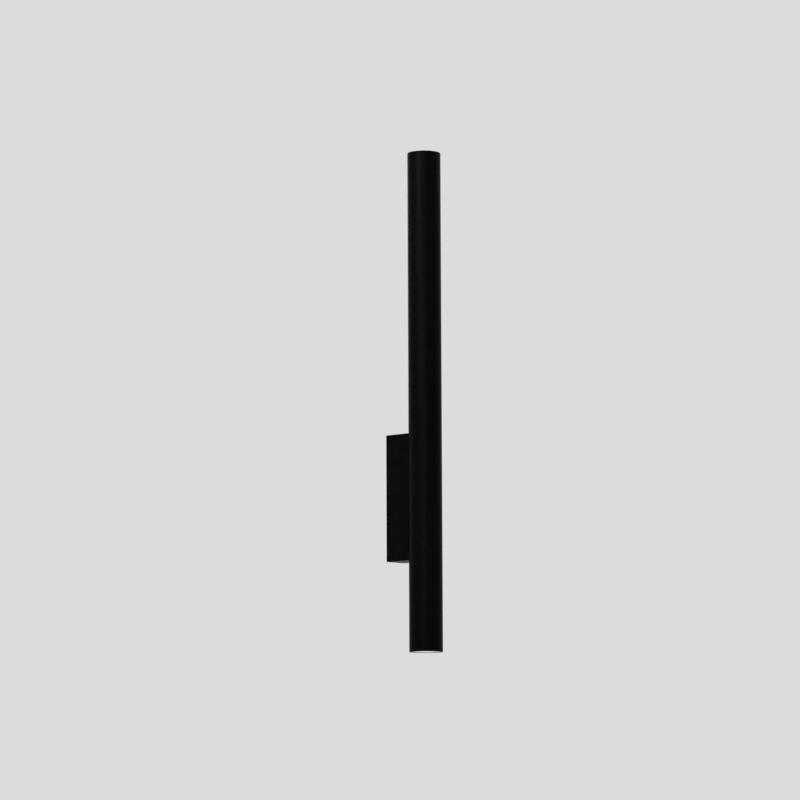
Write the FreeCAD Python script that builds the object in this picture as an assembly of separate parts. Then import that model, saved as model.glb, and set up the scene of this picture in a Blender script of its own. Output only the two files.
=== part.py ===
import FreeCAD, Part
import math
import os

from FreeCAD import Placement, Rotation, Vector

# A tube wall light: one long tube with a lamp shining out of each end, carried on a narrow wall box.
# The wall is the plane y = 0, the room lies towards -Y and +Z is up. The origin is on the wall, at the
# middle of the two wall screws. Lengths are in millimetres.

# ------------------------------------------------------------------ the light as a whole
tube_diameter = 40.0
tube_wall = 1.5
tube_length = 600.0
tube_edge_radius = 0.4
axis_to_wall = 50.0  # wall to the tube's centre line
tube_rise = 115.0  # the tube's middle above the wall box's middle

seat_clearance = 0.1  # between curved faces that bear on each other
hole_clearance = 0.2  # a through hole's radius beyond the shank's
through = 1.0  # how far a cutting shape runs past what it cuts
thread_clearance = 0.05  # a threaded hole's radius beyond the screw's

# ------------------------------------------------------------------ wall box and wall plate
box_width = 30.0
box_height = 152.0
box_sheet = 1.5
box_edge_radius = 0.6
box_lip_land = 0.6  # blunt edge where the box's sides meet the tube
box_wall_gap = 0.5  # the box's rim stays this far off the wall

plate_thickness = 2.0
plate_side_clearance = 0.8
plate_end_clearance = 0.4
plate_bend_radius = 1.0
plate_corner_radius = 2.0
tab_depth = 20.0
tab_width = 20.0
tab_relief = 2.5  # the plate's full width stops this far short of the bend
wall_slot_inset = 18.0  # from the box's end to the middle of a slot
wall_slot_width = 5.2
wall_slot_length = 14.0

cable_entry_z = -36.0
cable_bore_radius = 4.0
grommet_wall = 2.0
grommet_flange = 1.5  # both how far the flange stands out and how thick it is
emboss_height = 2.0
emboss_margin = 2.0  # flat face around the grommet's flange
emboss_slope = 1.5

# ------------------------------------------------------------------ screws and washers
m4_radius = 2.0
m4_head_radius = 4.0
m4_head_height = 2.6
m3_radius = 1.5
m3_head_radius = 2.75
recess_share = 0.55  # a cross recess's width and depth as a share of its head's
box_screw_from_wall = 12.0
box_screw_length = 8.0
tube_screw_spacing = 100.0
tube_screw_length = 12.0
saddle_washer_radius = 5.0
saddle_washer_thickness = 1.2
lock_washer_radius = 3.7
lock_washer_thickness = 0.8
lock_washer_teeth = 10
lock_washer_notch = 0.7

# ------------------------------------------------------------------ inside the tube
strip_width = 14.0
strip_thickness = 1.5
strip_bend_radius = 1.0
nut_radius = 3.0
nut_flange_radius = 4.0
nut_length = 8.0
nut_bulge = 1.0
bush_z = 31.0
bush_bore_radius = 4.0
bush_wall = 0.8
bush_flange_radius = 6.5
bush_flange_thickness = 1.5
bush_lip = 0.5

# ------------------------------------------------------------------ lampholders
holder_half_width = 10.0
holder_corner_radius = 7.0
holder_cover_thickness = 3.0
holder_base_height = 11.0
holder_end_clearance = 0.5
holder_screw_inset = 4.0
shelf_margin = 3.5  # the shelf runs on this far past the outer holder screw
holder_pocket_floor = 2.5
holder_screw_tip = 2.0  # how far a holder screw comes out behind its shelf
pocket_clearance = 0.7
contact_width = 3.5
contact_thickness = 0.4
contact_gap = 0.2
lead_exit_offset = 2.8  # lead holes either side of the holder's centre

# ------------------------------------------------------------------ lamps with a twist-lock cap
lens_recess = 0.3
lamp_length = 46.0
lamp_seat_gap = 0.3
lamp_tube_clearance = 0.5
lens_skirt = 1.0
lens_thickness = 1.8
lens_depth = 5.0
lens_edge_radius = 0.7
lens_step = 1.2  # the ring under the lens that rests on the housing's rim
pin_spacing = 10.0
pin_neck_radius = 1.5
pin_head_radius = 2.4
pin_head_length = 3.0
pin_root = 5.5
pin_chamfer = 0.5
pin_clearance = 0.2
pin_entry_clearance = 0.3
twist_angle = 30.0
lamp_cap_radius = 10.0
lamp_cap_height = 8.7
lamp_spigot_height = 3.0
lamp_shell = 1.2
lamp_rim_height = 7.3
lamp_rim_depth = 4.3  # from the rim down to the ledge that carries the LED board
lamp_ledge = 1.6
lamp_fin_start = 4.0  # the fins begin this far behind the neck's end, and run out as far past it
lamp_neck_height = 5.0
lamp_fin_count = 18
lamp_fin_thickness = 0.8
led_board_thickness = 1.6
board_clearance = 0.2
led_count = 6
led_ring_radius = 8.0
led_size = 3.0
led_height = 0.6
driver_width = 13.0
driver_top_clearance = 4.0
driver_board = 1.2
driver_can_radius = 3.2
driver_can_length = 10.0
driver_coil = 5.0
driver_coil_height = 8.0
driver_part_rise = 6.5  # parts stand this far up the driver board

# ------------------------------------------------------------------ wiring in the box and tube
block_z = -5.5
block_length = 17.0
block_height = 10.0
tower_height = 14.0
tower_radius = 3.4
tower_spacing = 8.4
pole_gap = 1.6
block_side_clearance = 1.1
pole_bore_radius = 2.0
pole_bore_wall = 0.6
pole_end_recess = 1.0  # a pole's tube stops this far inside the block's end
pole_bore_height = 5.6  # bore's centre above the wall plate
clamp_screw_radius = 1.4
clamp_head_radius = 1.9
clamp_head_height = 1.8
clamp_screw_length = 4.0
clamp_slot_width = 0.6
block_screw_radius = 1.25
block_screw_head = 2.2
block_screw_head_height = 1.6
block_web_length = 6.0
lead_radius = 0.9
conductor_radius = 0.65
lead_bare_end = 7.5
lead_spacing = 2.4  # between two leads that run side by side
lead_bow = 3.0  # inside the bore, leads bow round the nuts this far behind the tube's centre line
tie_width = 2.5
tie_thickness = 0.8
tie_head = 4.4
tie_head_depth = 2.6
tie_tail = 1.5
tie_corner = 0.6
tie_clearance = 0.1
ring_terminal_radius = 4.0
ring_terminal_thickness = 0.8
ring_terminal_reach = 11.0
ring_barrel_radius = 1.6
ring_barrel_length = 6.0
earth_collar_height = 1.5
earth_collar_radius = 3.3
earth_screw_z = 34.0
tie_from_shelf = 36.0
tie_from_screw = 50.0
upper_tie_count = 5
tie_turn_share = 0.4  # a lead's route turns at this share of the way from a tie to what is next to it

# ------------------------------------------------------------------ values that follow from those
X, Y, Z = Vector(1, 0, 0), Vector(0, 1, 0), Vector(0, 0, 1)
ORIGIN = Vector(0, 0, 0)

axis_y = -axis_to_wall
tube_radius = tube_diameter / 2
bore_radius = tube_radius - tube_wall
saddle_radius = tube_radius + seat_clearance
web_inner_radius = saddle_radius + box_sheet
web_inner_y = axis_y + web_inner_radius
box_inner_half = box_width / 2 - box_sheet
plate_front_y = -plate_thickness
plate_half_height = box_height / 2 - box_sheet - plate_end_clearance
wall_slot_spacing = box_height - 2 * wall_slot_inset

strip_outer = math.sqrt((bore_radius - seat_clearance) ** 2 - (strip_width / 2) ** 2)
strip_inner = strip_outer - strip_thickness
strip_inner_y = axis_y + strip_inner
strip_outer_y = axis_y + strip_outer
bush_radius = bush_bore_radius + bush_wall

holder_height = holder_cover_thickness + holder_base_height
holder_face_from_middle = tube_length / 2 - lens_recess - lamp_length - lamp_seat_gap
shelf_from_middle = holder_face_from_middle - holder_height
holder_half_length = strip_inner - holder_end_clearance
holder_screw_spacing = 2 * (holder_half_length - holder_screw_inset)

lens_radius = bore_radius - lamp_tube_clearance
rim_radius = lens_radius - lens_skirt - seat_clearance
lens_face = lamp_seat_gap + lamp_length
rim_top = lens_face - lens_thickness - lens_step
ledge_z = rim_top - lamp_rim_depth
board_radius = rim_radius - lamp_shell - board_clearance
pin_circle = pin_spacing / 2
pin_head_top = -holder_cover_thickness - lamp_seat_gap
pin_head_end = pin_head_top - pin_head_length

block_top_z = block_z + block_length / 2
pole_y = plate_front_y - pole_bore_height
pole_pitch = (2 * (box_inner_half - block_side_clearance) + pole_gap) / 3
pole_width = pole_pitch - pole_gap
live_x, neutral_x, earth_x = pole_pitch, 0.0, -pole_pitch
lead_run_y = strip_inner_y - lead_radius - tie_clearance


# ------------------------------------------------------------------ shapes used by several pieces
def block(x, y, z):
    """A box from its low and high values along each axis."""
    return Part.makeBox(x[1] - x[0], y[1] - y[0], z[1] - z[0], Vector(x[0], y[0], z[0]))


def rod_y(radius, x, z, y0, y1):
    """A round bar along Y."""
    return Part.makeCylinder(radius, y1 - y0, Vector(x, y0, z), Y)


def rod_z(radius, x, y, z0, z1):
    """A round bar along Z."""
    return Part.makeCylinder(radius, z1 - z0, Vector(x, y, z0), Z)


def tube_core(radius, margin=10.0):
    """A bar on the tube's centre line, longer than the tube."""
    middle = tube_length / 2 + margin
    return rod_z(radius, 0, axis_y, tube_rise - middle, tube_rise + middle)


def revolved(points):
    """A closed outline of (radius, z) corners turned about the Z axis."""
    corners = [Vector(r, 0, z) for r, z in points]
    outline = Part.makePolygon(corners + corners[:1])
    return Part.Face(outline).revolve(ORIGIN, Z, 360)


def rounded_block(half_x, half_y, radius, z0, z1):
    """An upright block about the Z axis with rounded corners."""
    plain = block((-half_x, half_x), (-half_y, half_y), (z0, z1))
    upright = [e for e in plain.Edges if abs(e.tangentAt(e.FirstParameter).z) > 0.9]
    return plain.makeFillet(radius, upright)


def edges_where(shape, test):
    """The edges whose two ends both pass a test of their position."""
    return [e for e in shape.Edges if len(e.Vertexes) == 2 and all(test(v.Point) for v in e.Vertexes)]


def close(a, b):
    return abs(a - b) < 1e-4


def aimed(shape, place, direction):
    """A piece drawn along +Z, turned to point along a direction and moved to a place."""
    moved = shape.copy()
    moved.Placement = Placement(place, Rotation(Z, direction)).multiply(moved.Placement)
    return moved


def cross_recess(width, depth):
    """The cross that a screwdriver turns, sunk from z = 0 downwards."""
    arm = width / 5
    bars = [
        block((-width / 2, width / 2), (-arm / 2, arm / 2), (-depth, 0.1)),
        block((-arm / 2, arm / 2), (-width / 2, width / 2), (-depth, 0.1)),
    ]
    return bars[0].fuse(bars[1])


def pan_screw(radius, length, head_radius, head_height):
    """A pan head screw: its head stands on z = 0 and its shank runs down."""
    shank = rod_z(radius - thread_clearance, 0, 0, -length, 0)
    head = rod_z(head_radius, 0, 0, 0, head_height)
    rim = edges_of_top(head, head_height)
    head = head.makeFillet(head_height * 0.4, rim)
    recess = cross_recess(2 * head_radius * recess_share, head_height * recess_share)
    recess.translate(Vector(0, 0, head_height))
    return head.fuse(shank).removeSplitter().cut(recess)


def edges_of_top(shape, height):
    """The round edges that lie at one height."""
    return [e for e in shape.Edges if close(e.BoundBox.ZMin, height) and close(e.BoundBox.ZMax, height)]


def countersunk_screw(radius, length, head_radius):
    """A countersunk screw whose flat head is flush with z = 0."""
    cone_height = head_radius - radius
    shank_radius = radius - thread_clearance
    head = Part.makeCone(shank_radius, head_radius, cone_height + thread_clearance)
    head.translate(Vector(0, 0, -cone_height - thread_clearance))
    shank = rod_z(shank_radius, 0, 0, -length, -cone_height)
    return head.fuse(shank).cut(cross_recess(2 * head_radius * recess_share, cone_height))


def countersink():
    """The seat and the clearance hole of a countersunk M3 screw, sunk from z = 0 downwards."""
    shank, head = m3_radius + seat_clearance, m3_head_radius + seat_clearance
    cone = Part.makeCone(shank, head, head - shank, Vector(0, 0, shank - head), Z)
    return cone.fuse(rod_z(shank, 0, 0, -2 * m3_head_radius, through))


def tooth_washer(outer, inner, thickness):
    """A lock washer standing on z = 0, with teeth cut into its rim."""
    washer = rod_z(outer, 0, 0, 0, thickness).cut(rod_z(inner, 0, 0, -1, thickness + through))
    half = lock_washer_notch / 2
    notch = block((outer - lock_washer_notch, outer + through), (-half, half), (-1, thickness + through))
    for i in range(lock_washer_teeth):
        turned = notch.copy()
        turned.rotate(ORIGIN, Z, 360.0 * i / lock_washer_teeth)
        washer = washer.cut(turned)
    return washer


def rounded_path(points):
    """Straight runs joined by tangent arcs, each as large as its two runs allow, and the least radius."""
    edges, radii, at = [], [], points[0]
    for before, corner, after in zip(points, points[1:], points[2:]):
        run_in, run_out = corner - before, after - corner
        turn = run_in.getAngle(run_out)
        reach = 0.45 * min(run_in.Length, run_out.Length)
        into = Vector(run_in).normalize()
        out = Vector(run_out).normalize()
        radius = reach / math.tan(turn / 2)
        inward = (out - into).normalize()
        centre = corner + inward * (radius / math.cos(turn / 2))
        start, end = corner - into * reach, corner + out * reach
        edges.append(Part.LineSegment(at, start).toShape())
        edges.append(Part.Arc(start, centre - inward * radius, end).toShape())
        radii.append(radius)
        at = end
    edges.append(Part.LineSegment(at, points[-1]).toShape())
    return Part.Wire(edges), min(radii)


def lead(points, name):
    """An insulated wire along a route, with a bare end that runs on at each end of it."""
    path, least = rounded_path(points[1:-1])
    first = (points[2] - points[1]).normalize()
    ring = Part.Wire(Part.makeCircle(lead_radius, points[1], first))
    body = path.makePipeShell([ring], True, False)
    volume = math.pi * lead_radius**2 * path.Length
    print(f"{name}: {path.Length:.0f} mm, least bend radius {least:.1f} mm, volume {body.Volume / volume:.4f}")
    for tip, root in ((points[0], points[1]), (points[-1], points[-2])):
        body = body.fuse(Part.makeCylinder(conductor_radius, (tip - root).Length, root, tip - root))
    return body


# ------------------------------------------------------------------ tube and wall box
def tube():
    """Extruded aluminium tube, with holes in its back for two screws and the lead bush."""
    z0, z1 = tube_rise - tube_length / 2, tube_rise + tube_length / 2
    outside = rod_z(tube_radius, 0, axis_y, z0, z1)
    rims = [e for e in outside.Edges if close(e.BoundBox.ZMin, e.BoundBox.ZMax)]
    shell = outside.makeFillet(tube_edge_radius, rims).cut(tube_core(bore_radius))
    for z in tube_screw_heights():
        shell = shell.cut(rod_y(m4_radius + hole_clearance, 0, z, axis_y, 0))
    return shell.cut(rod_y(bush_radius + hole_clearance, 0, bush_z, axis_y, 0))


def tube_screw_heights():
    return -tube_screw_spacing / 2, tube_screw_spacing / 2


def wall_box():
    """Welded sheet box, open at the wall, whose front is hollowed to seat the tube."""
    half_x, half_z = box_width / 2, box_height / 2
    lip_y = axis_y + math.sqrt(saddle_radius**2 - (half_x - box_lip_land) ** 2)
    outside = block((-half_x, half_x), (lip_y, -box_wall_gap), (-half_z, half_z))
    corners = edges_where(outside, lambda p: close(abs(p.x), half_x) and close(abs(p.z), half_z))
    level = [e for e in corners if abs(e.tangentAt(e.FirstParameter).y) > 0.9]
    outside = outside.makeFillet(box_edge_radius, level).cut(tube_core(saddle_radius))
    inner_z = half_z - box_sheet
    inside = block((-box_inner_half, box_inner_half), (lip_y, through), (-inner_z, inner_z))
    shell = outside.cut(inside.cut(tube_core(web_inner_radius)))
    for z in tube_screw_heights():
        shell = shell.cut(rod_y(m4_radius + hole_clearance, 0, z, axis_y, plate_front_y))
    shell = shell.cut(rod_y(bush_radius + hole_clearance, 0, bush_z, axis_y, plate_front_y))
    for seat, direction in box_screw_places():
        shell = shell.cut(aimed(countersink(), seat, direction))
    return shell


def box_screw_places():
    """Where each box screw's head lies flush, and the way it faces."""
    y, z = -box_screw_from_wall, box_height / 2
    return (Vector(0, y, z), Z), (Vector(0, y, -z), -Z)


def box_screws():
    """One countersunk screw in each end of the box, into the wall plate's tabs."""
    screw = countersunk_screw(m3_radius, box_screw_length, m3_head_radius)
    return [aimed(screw, seat, direction) for seat, direction in box_screw_places()]


# ------------------------------------------------------------------ wall plate and cable entry
def wall_plate():
    """Bent steel plate that is screwed to the wall and carries the box on its two tabs."""
    half_x = box_inner_half - plate_side_clearance
    high, low = plate_half_height, plate_half_height - plate_thickness
    full = low - plate_bend_radius - tab_relief
    body = block((-tab_width / 2, tab_width / 2), (plate_front_y, 0), (-high, high))
    for z0, z1 in ((low, high), (-high, -low)):
        tab = block((-tab_width / 2, tab_width / 2), (-tab_depth, 0), (z0, z1))
        tips = edges_where(tab, lambda p: close(p.y, -tab_depth))
        upright = [e for e in tips if abs(e.tangentAt(e.FirstParameter).z) > 0.9]
        body = body.fuse(tab.makeFillet(plate_corner_radius, upright))
    body = body.removeSplitter()
    outer = edges_where(body, lambda p: close(p.y, 0) and close(abs(p.z), high))
    body = body.makeFillet(plate_thickness + plate_bend_radius, [e for e in outer if is_along_x(e)])
    inner = edges_where(body, lambda p: close(p.y, plate_front_y) and close(abs(p.z), low))
    body = body.makeFillet(plate_bend_radius, [e for e in inner if is_along_x(e)])
    wide = block((-half_x, half_x), (plate_front_y, 0), (-full, full))
    upright = [e for e in wide.Edges if abs(e.tangentAt(e.FirstParameter).y) > 0.9]
    body = body.fuse(wide.makeFillet(plate_corner_radius, upright)).removeSplitter()
    body = body.fuse(emboss(emboss_radius(), -emboss_height - plate_thickness, plate_front_y))
    body = body.cut(emboss(emboss_radius() - plate_thickness * 0.6, -emboss_height, 0))
    body = body.cut(rod_y(cable_bore_radius + grommet_wall, 0, cable_entry_z, -tab_depth, through))
    body = body.fuse(rod_y(earth_collar_radius, earth_x, earth_screw_z, earth_collar_y(), plate_front_y))
    body = body.cut(rod_y(m4_radius, earth_x, earth_screw_z, -tab_depth, through))
    for z in (-wall_slot_spacing / 2, wall_slot_spacing / 2):
        body = body.cut(upright_slot(wall_slot_width / 2, wall_slot_length, z))
    for x in block_screw_places():
        body = body.cut(rod_y(block_screw_radius, x, block_z, -tab_depth, through))
    return body.cut(rod_z(m3_radius, 0, -box_screw_from_wall, -high - through, high + through))


def is_along_x(edge):
    return abs(edge.tangentAt(edge.FirstParameter).x) > 0.9


def emboss_radius():
    return cable_bore_radius + grommet_wall + grommet_flange + emboss_margin


def earth_collar_y():
    return plate_front_y - earth_collar_height


def emboss(radius, y_front, y_back):
    """The raised pan around the cable entry, as a cone that narrows towards the room."""
    return Part.makeCone(radius + emboss_slope, radius, y_back - y_front, Vector(0, y_back, cable_entry_z), -Y)


def upright_slot(radius, length, z):
    """A slot through the wall plate with round ends, standing upright."""
    reach = length / 2 - radius
    low, high = (rod_y(radius, 0, end, -tab_depth, through) for end in (z - reach, z + reach))
    return low.fuse(high).fuse(block((-radius, radius), (-tab_depth, through), (z - reach, z + reach)))


def cable_grommet():
    """Rubber ring that lines the supply cable's hole, with a flange on each side of the plate."""
    groove = cable_bore_radius + grommet_wall - seat_clearance
    flange = cable_bore_radius + grommet_wall + grommet_flange
    front = -emboss_height - plate_thickness
    body = rod_y(groove, 0, cable_entry_z, front, -emboss_height)
    body = body.fuse(rod_y(flange, 0, cable_entry_z, front - grommet_flange, front))
    body = body.fuse(rod_y(flange, 0, cable_entry_z, -emboss_height, -emboss_height + grommet_flange))
    return body.cut(rod_y(cable_bore_radius, 0, cable_entry_z, -tab_depth, through))


# ------------------------------------------------------------------ terminal block
def pole_places():
    return earth_x, neutral_x, live_x


def block_screw_places():
    return -pole_pitch / 2, pole_pitch / 2


def terminal_block():
    """Three-pole screw terminal block, seated on the wall plate."""
    z = (block_z - block_length / 2, block_z + block_length / 2)
    reach = pole_pitch + pole_width / 2
    body = block(
        (-reach, reach),
        (plate_front_y - block_height, plate_front_y),
        (block_z - block_web_length / 2, block_z + block_web_length / 2),
    )
    tower_y = plate_front_y - tower_height
    for x in pole_places():
        sides = (x - pole_width / 2, x + pole_width / 2)
        body = body.fuse(block(sides, (plate_front_y - block_height, plate_front_y), z))
        for tower_z in tower_heights():
            body = body.fuse(rod_y(tower_radius, x, tower_z, tower_y, plate_front_y - through))
    body = body.removeSplitter()
    for x in pole_places():
        body = body.cut(rod_z(pole_bore_radius + pole_bore_wall, x, pole_y, z[0] - through, z[1] + through))
        for tower_z in tower_heights():
            well = rod_y(clamp_head_radius + seat_clearance, x, tower_z, tower_y - through, pole_y)
            body = body.cut(well)
    for x in block_screw_places():
        body = body.cut(rod_y(block_screw_radius + seat_clearance, x, block_z, tower_y, 0))
    return body


def tower_heights():
    return block_z - tower_spacing / 2, block_z + tower_spacing / 2


def terminal_tubes():
    """The brass tube of each pole, with a threaded hole over each end."""
    tubes = []
    reach = block_length / 2 - pole_end_recess
    ends = (block_z - reach, block_z + reach)
    for x in pole_places():
        barrel = rod_z(pole_bore_radius + pole_bore_wall - seat_clearance / 2, x, pole_y, *ends)
        barrel = barrel.cut(rod_z(pole_bore_radius, x, pole_y, ends[0] - through, ends[1] + through))
        for z in tower_heights():
            barrel = barrel.cut(rod_y(clamp_screw_radius, x, z, pole_y - tower_height, pole_y))
        tubes.append(barrel)
    return tubes


def terminal_screws():
    """Clamping screws: the upper ones are down on the leads, the lower ones stand open for the supply."""
    screws = []
    for x in pole_places():
        for z, tip_y in zip(tower_heights(), (pole_y - pole_bore_radius, pole_y - conductor_stack())):
            top_y = tip_y - clamp_screw_length
            screw = rod_y(clamp_screw_radius - thread_clearance, x, z, top_y, tip_y)
            head = rod_y(clamp_head_radius - thread_clearance, x, z, top_y, top_y + clamp_head_height)
            half = clamp_slot_width / 2
            slot_y = (top_y - through, top_y + clamp_slot_width)
            slot = block((x - half, x + half), slot_y, (z - tower_radius, z + tower_radius))
            screws.append(screw.fuse(head).removeSplitter().cut(slot))
    return screws


def conductor_stack():
    """How far two bare ends, one in front of the other, come out from the pole's centre."""
    return lead_step() / 2 + conductor_radius + seat_clearance


def lead_step():
    """Between two leads that go into one pole."""
    return 2 * lead_radius + 2 * seat_clearance


def block_screws():
    """Two screws that hold the terminal block to the wall plate."""
    length = block_height + plate_thickness - seat_clearance
    screw = pan_screw(block_screw_radius, length, block_screw_head, block_screw_head_height)
    seat = plate_front_y - block_height
    return [aimed(screw, Vector(x, seat, block_z), -Y) for x in block_screw_places()]


# ------------------------------------------------------------------ what joins the box to the tube
def on_web(radius, thickness, z):
    """A round pad on the box's hollowed front, its back shaped to the curve."""
    pad = rod_y(radius, 0, z, web_inner_y - 3 * box_sheet, web_inner_y + thickness)
    return pad.cut(tube_core(web_inner_radius + seat_clearance / 2))


def saddle_washers():
    """Washers with one curved face, under the two tube screws."""
    shaft = m4_radius + hole_clearance
    washers = []
    for z in tube_screw_heights():
        hole = rod_y(shaft, 0, z, axis_y, 0)
        washers.append(on_web(saddle_washer_radius, saddle_washer_thickness, z).cut(hole))
    return washers


def washer_top_y():
    return web_inner_y + saddle_washer_thickness


def lock_washers():
    """Toothed washers under the heads of the tube screws and of the plate's earth screw."""
    washer = tooth_washer(lock_washer_radius, m4_radius + seat_clearance, lock_washer_thickness)
    low, high = tube_screw_heights()
    return [
        aimed(washer, Vector(0, washer_top_y(), low), Y),
        aimed(washer, Vector(0, washer_top_y() + ring_terminal_thickness, high), Y),
        aimed(washer, Vector(earth_x, earth_collar_y() - ring_terminal_thickness, earth_screw_z), -Y),
    ]


def tube_screws():
    """Two screws from inside the box, through box and tube into the carrier strip's nuts."""
    screw = pan_screw(m4_radius, tube_screw_length, m4_head_radius, m4_head_height)
    low, high = tube_screw_heights()
    seat = washer_top_y() + lock_washer_thickness
    return [
        aimed(screw, Vector(0, seat, low), Y),
        aimed(screw, Vector(0, seat + ring_terminal_thickness, high), Y),
    ]


def lead_bush():
    """Nylon bush that lines the leads' way through box, tube and strip, with a snap-in lip."""
    end = strip_inner_y - seat_clearance
    body = rod_y(bush_radius, 0, bush_z, end - 2 * bush_lip, web_inner_y + bush_flange_thickness)
    lip = Part.makeCone(bush_radius + bush_lip, bush_radius, 2 * bush_lip, Vector(0, end, bush_z), -Y)
    body = body.fuse(on_web(bush_flange_radius, bush_flange_thickness, bush_z)).fuse(lip)
    return body.cut(rod_y(bush_bore_radius, 0, bush_z, axis_y, 0))


# ------------------------------------------------------------------ carrier strip inside the tube
def carrier_strip():
    """Steel strip down the back of the bore, bent at each end into a shelf for a lampholder."""
    half_x = strip_width / 2
    ends = (tube_rise - shelf_from_middle, tube_rise + shelf_from_middle)
    shelf_y = axis_y - holder_screw_spacing / 2 - shelf_margin
    body = block((-half_x, half_x), (strip_inner_y, strip_outer_y), ends)
    for z0 in (ends[0], ends[1] - strip_thickness):
        shelf = block((-half_x, half_x), (shelf_y, strip_outer_y), (z0, z0 + strip_thickness))
        tips = edges_where(shelf, lambda p: close(p.y, shelf_y))
        upright = [e for e in tips if abs(e.tangentAt(e.FirstParameter).z) > 0.9]
        body = body.fuse(shelf.makeFillet(plate_corner_radius, upright))
    body = body.removeSplitter()
    outer = edges_where(body, lambda p: close(p.y, strip_outer_y) and close(abs(p.z - tube_rise), shelf_from_middle))
    body = body.makeFillet(strip_thickness + strip_bend_radius, [e for e in outer if is_along_x(e)])
    inner_reach = shelf_from_middle - strip_thickness
    inner = edges_where(body, lambda p: close(p.y, strip_inner_y) and close(abs(p.z - tube_rise), inner_reach))
    body = body.makeFillet(strip_bend_radius, [e for e in inner if is_along_x(e)])
    for y in holder_screw_places():
        body = body.cut(rod_z(m3_radius, 0, axis_y + y, ends[0] - through, ends[1] + through))
    lead_hole = lead_exit_offset + lead_radius + hole_clearance
    body = body.cut(rod_z(lead_hole, 0, axis_y, ends[0] - through, ends[1] + through))
    depth = (strip_inner_y - through, strip_outer_y + through)
    for z in tube_screw_heights():
        body = body.cut(rod_y(nut_radius + thread_clearance, 0, z, *depth))
    body = body.cut(rod_y(bush_radius + seat_clearance, 0, bush_z, *depth))
    for z in tie_heights("top") + tie_heights("bottom"):
        for side in (-1, 1):
            slot = tie_band_x(side)
            half = tie_width / 2 + hole_clearance
            body = body.cut(block(slot, depth, (z - half, z + half)))
    return body


def tie_heights(end):
    """Heights of the cable ties, from a lampholder's shelf towards the tube screws."""
    if end == "bottom":
        return [(tube_rise - shelf_from_middle - tube_screw_spacing / 2) / 2]
    first, last = tube_rise + shelf_from_middle - tie_from_shelf, tube_screw_spacing / 2 + tie_from_screw
    step = (first - last) / (upper_tie_count - 1)
    return [first - i * step for i in range(upper_tie_count)]


def tie_inside():
    """Half the width between the two sides of a cable tie."""
    return lead_spacing / 2 + lead_radius + tie_clearance


def tie_band_x(side):
    """Where one side of a cable tie passes through the strip, with room around it."""
    near, far = tie_inside() - seat_clearance, tie_inside() + tie_thickness + seat_clearance
    return (near, far) if side > 0 else (-far, -near)


def holder_screw_places():
    return -holder_screw_spacing / 2, holder_screw_spacing / 2


def strip_nuts():
    """Rivet nuts in the strip that take the two tube screws."""
    nuts = []
    flange = math.sqrt(bore_radius**2 - nut_flange_radius**2) - strip_outer - seat_clearance
    for z in tube_screw_heights():
        body = rod_y(nut_radius, 0, z, strip_outer_y - nut_length, strip_outer_y)
        body = body.fuse(rod_y(nut_flange_radius, 0, z, strip_outer_y, strip_outer_y + flange))
        bulge = Part.makeCone(nut_radius + nut_bulge, nut_radius, 2 * nut_bulge, Vector(0, strip_inner_y, z), -Y)
        nuts.append(body.fuse(bulge).cut(rod_y(m4_radius, 0, z, axis_y, 0)))
    return nuts


# ------------------------------------------------------------------ lampholder, drawn with its face on z = 0
def at_end(shape, end):
    """A piece drawn with the lampholder's face on z = 0, moved to the top or the bottom of the tube."""
    moved = shape.copy()
    if end == "bottom":
        moved.rotate(ORIGIN, X, 180)
    rise = holder_face_from_middle if end == "top" else -holder_face_from_middle
    moved.translate(Vector(0, axis_y, tube_rise + rise))
    return moved


def both_pins(shape):
    """A feature at the pin on +X and the same feature, half a turn on, at the other pin."""
    other = shape.copy()
    other.rotate(ORIGIN, Z, 180)
    return [shape, other]


def holder_base():
    """Ceramic base with a pocket for each contact."""
    floor = -holder_height + holder_pocket_floor
    body = rounded_block(
        holder_half_width, holder_half_length, holder_corner_radius, -holder_height, -holder_cover_thickness
    )
    swing = pin_circle * math.sin(math.radians(twist_angle))
    reach = pin_head_radius + pocket_clearance
    pocket = block(
        (pin_circle * math.cos(math.radians(twist_angle)) - reach, pin_circle + reach + pin_entry_clearance),
        (-reach, swing + reach),
        (floor, 0),
    )
    exit_radius = lead_radius + hole_clearance
    exit_hole = rod_z(exit_radius, lead_exit_offset, 0, -holder_height - through, floor + through)
    for cut in both_pins(pocket) + both_pins(exit_hole):
        body = body.cut(cut)
    for y in holder_screw_places():
        body = body.cut(rod_z(m3_radius + seat_clearance, 0, y, -holder_height - through, 0))
    return body


def holder_cover():
    """Ceramic cover with a keyhole for each pin: a round way in, and a curved slot to lock in."""
    body = rounded_block(
        holder_half_width, holder_half_length, holder_corner_radius, -holder_cover_thickness, 0
    )
    half_slot = pin_neck_radius + pin_clearance
    deep = holder_cover_thickness + 2
    foot = Vector(0, 0, -holder_cover_thickness - through)
    slot = Part.makeCylinder(pin_circle + half_slot, deep, foot, Z, twist_angle)
    slot = slot.cut(Part.makeCylinder(pin_circle - half_slot, deep, foot, Z))
    locked = Part.makeCylinder(half_slot, deep, foot + Vector(pin_circle, 0, 0), Z)
    entry = Part.makeCylinder(pin_head_radius + pin_entry_clearance, deep, foot + Vector(pin_circle, 0, 0), Z)
    entry.rotate(ORIGIN, Z, twist_angle)
    for cut in both_pins(slot.fuse(locked).fuse(entry)):
        body = body.cut(cut)
    for y in holder_screw_places():
        body = body.cut(aimed(countersink(), Vector(0, y, 0), Z))
    return body


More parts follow.
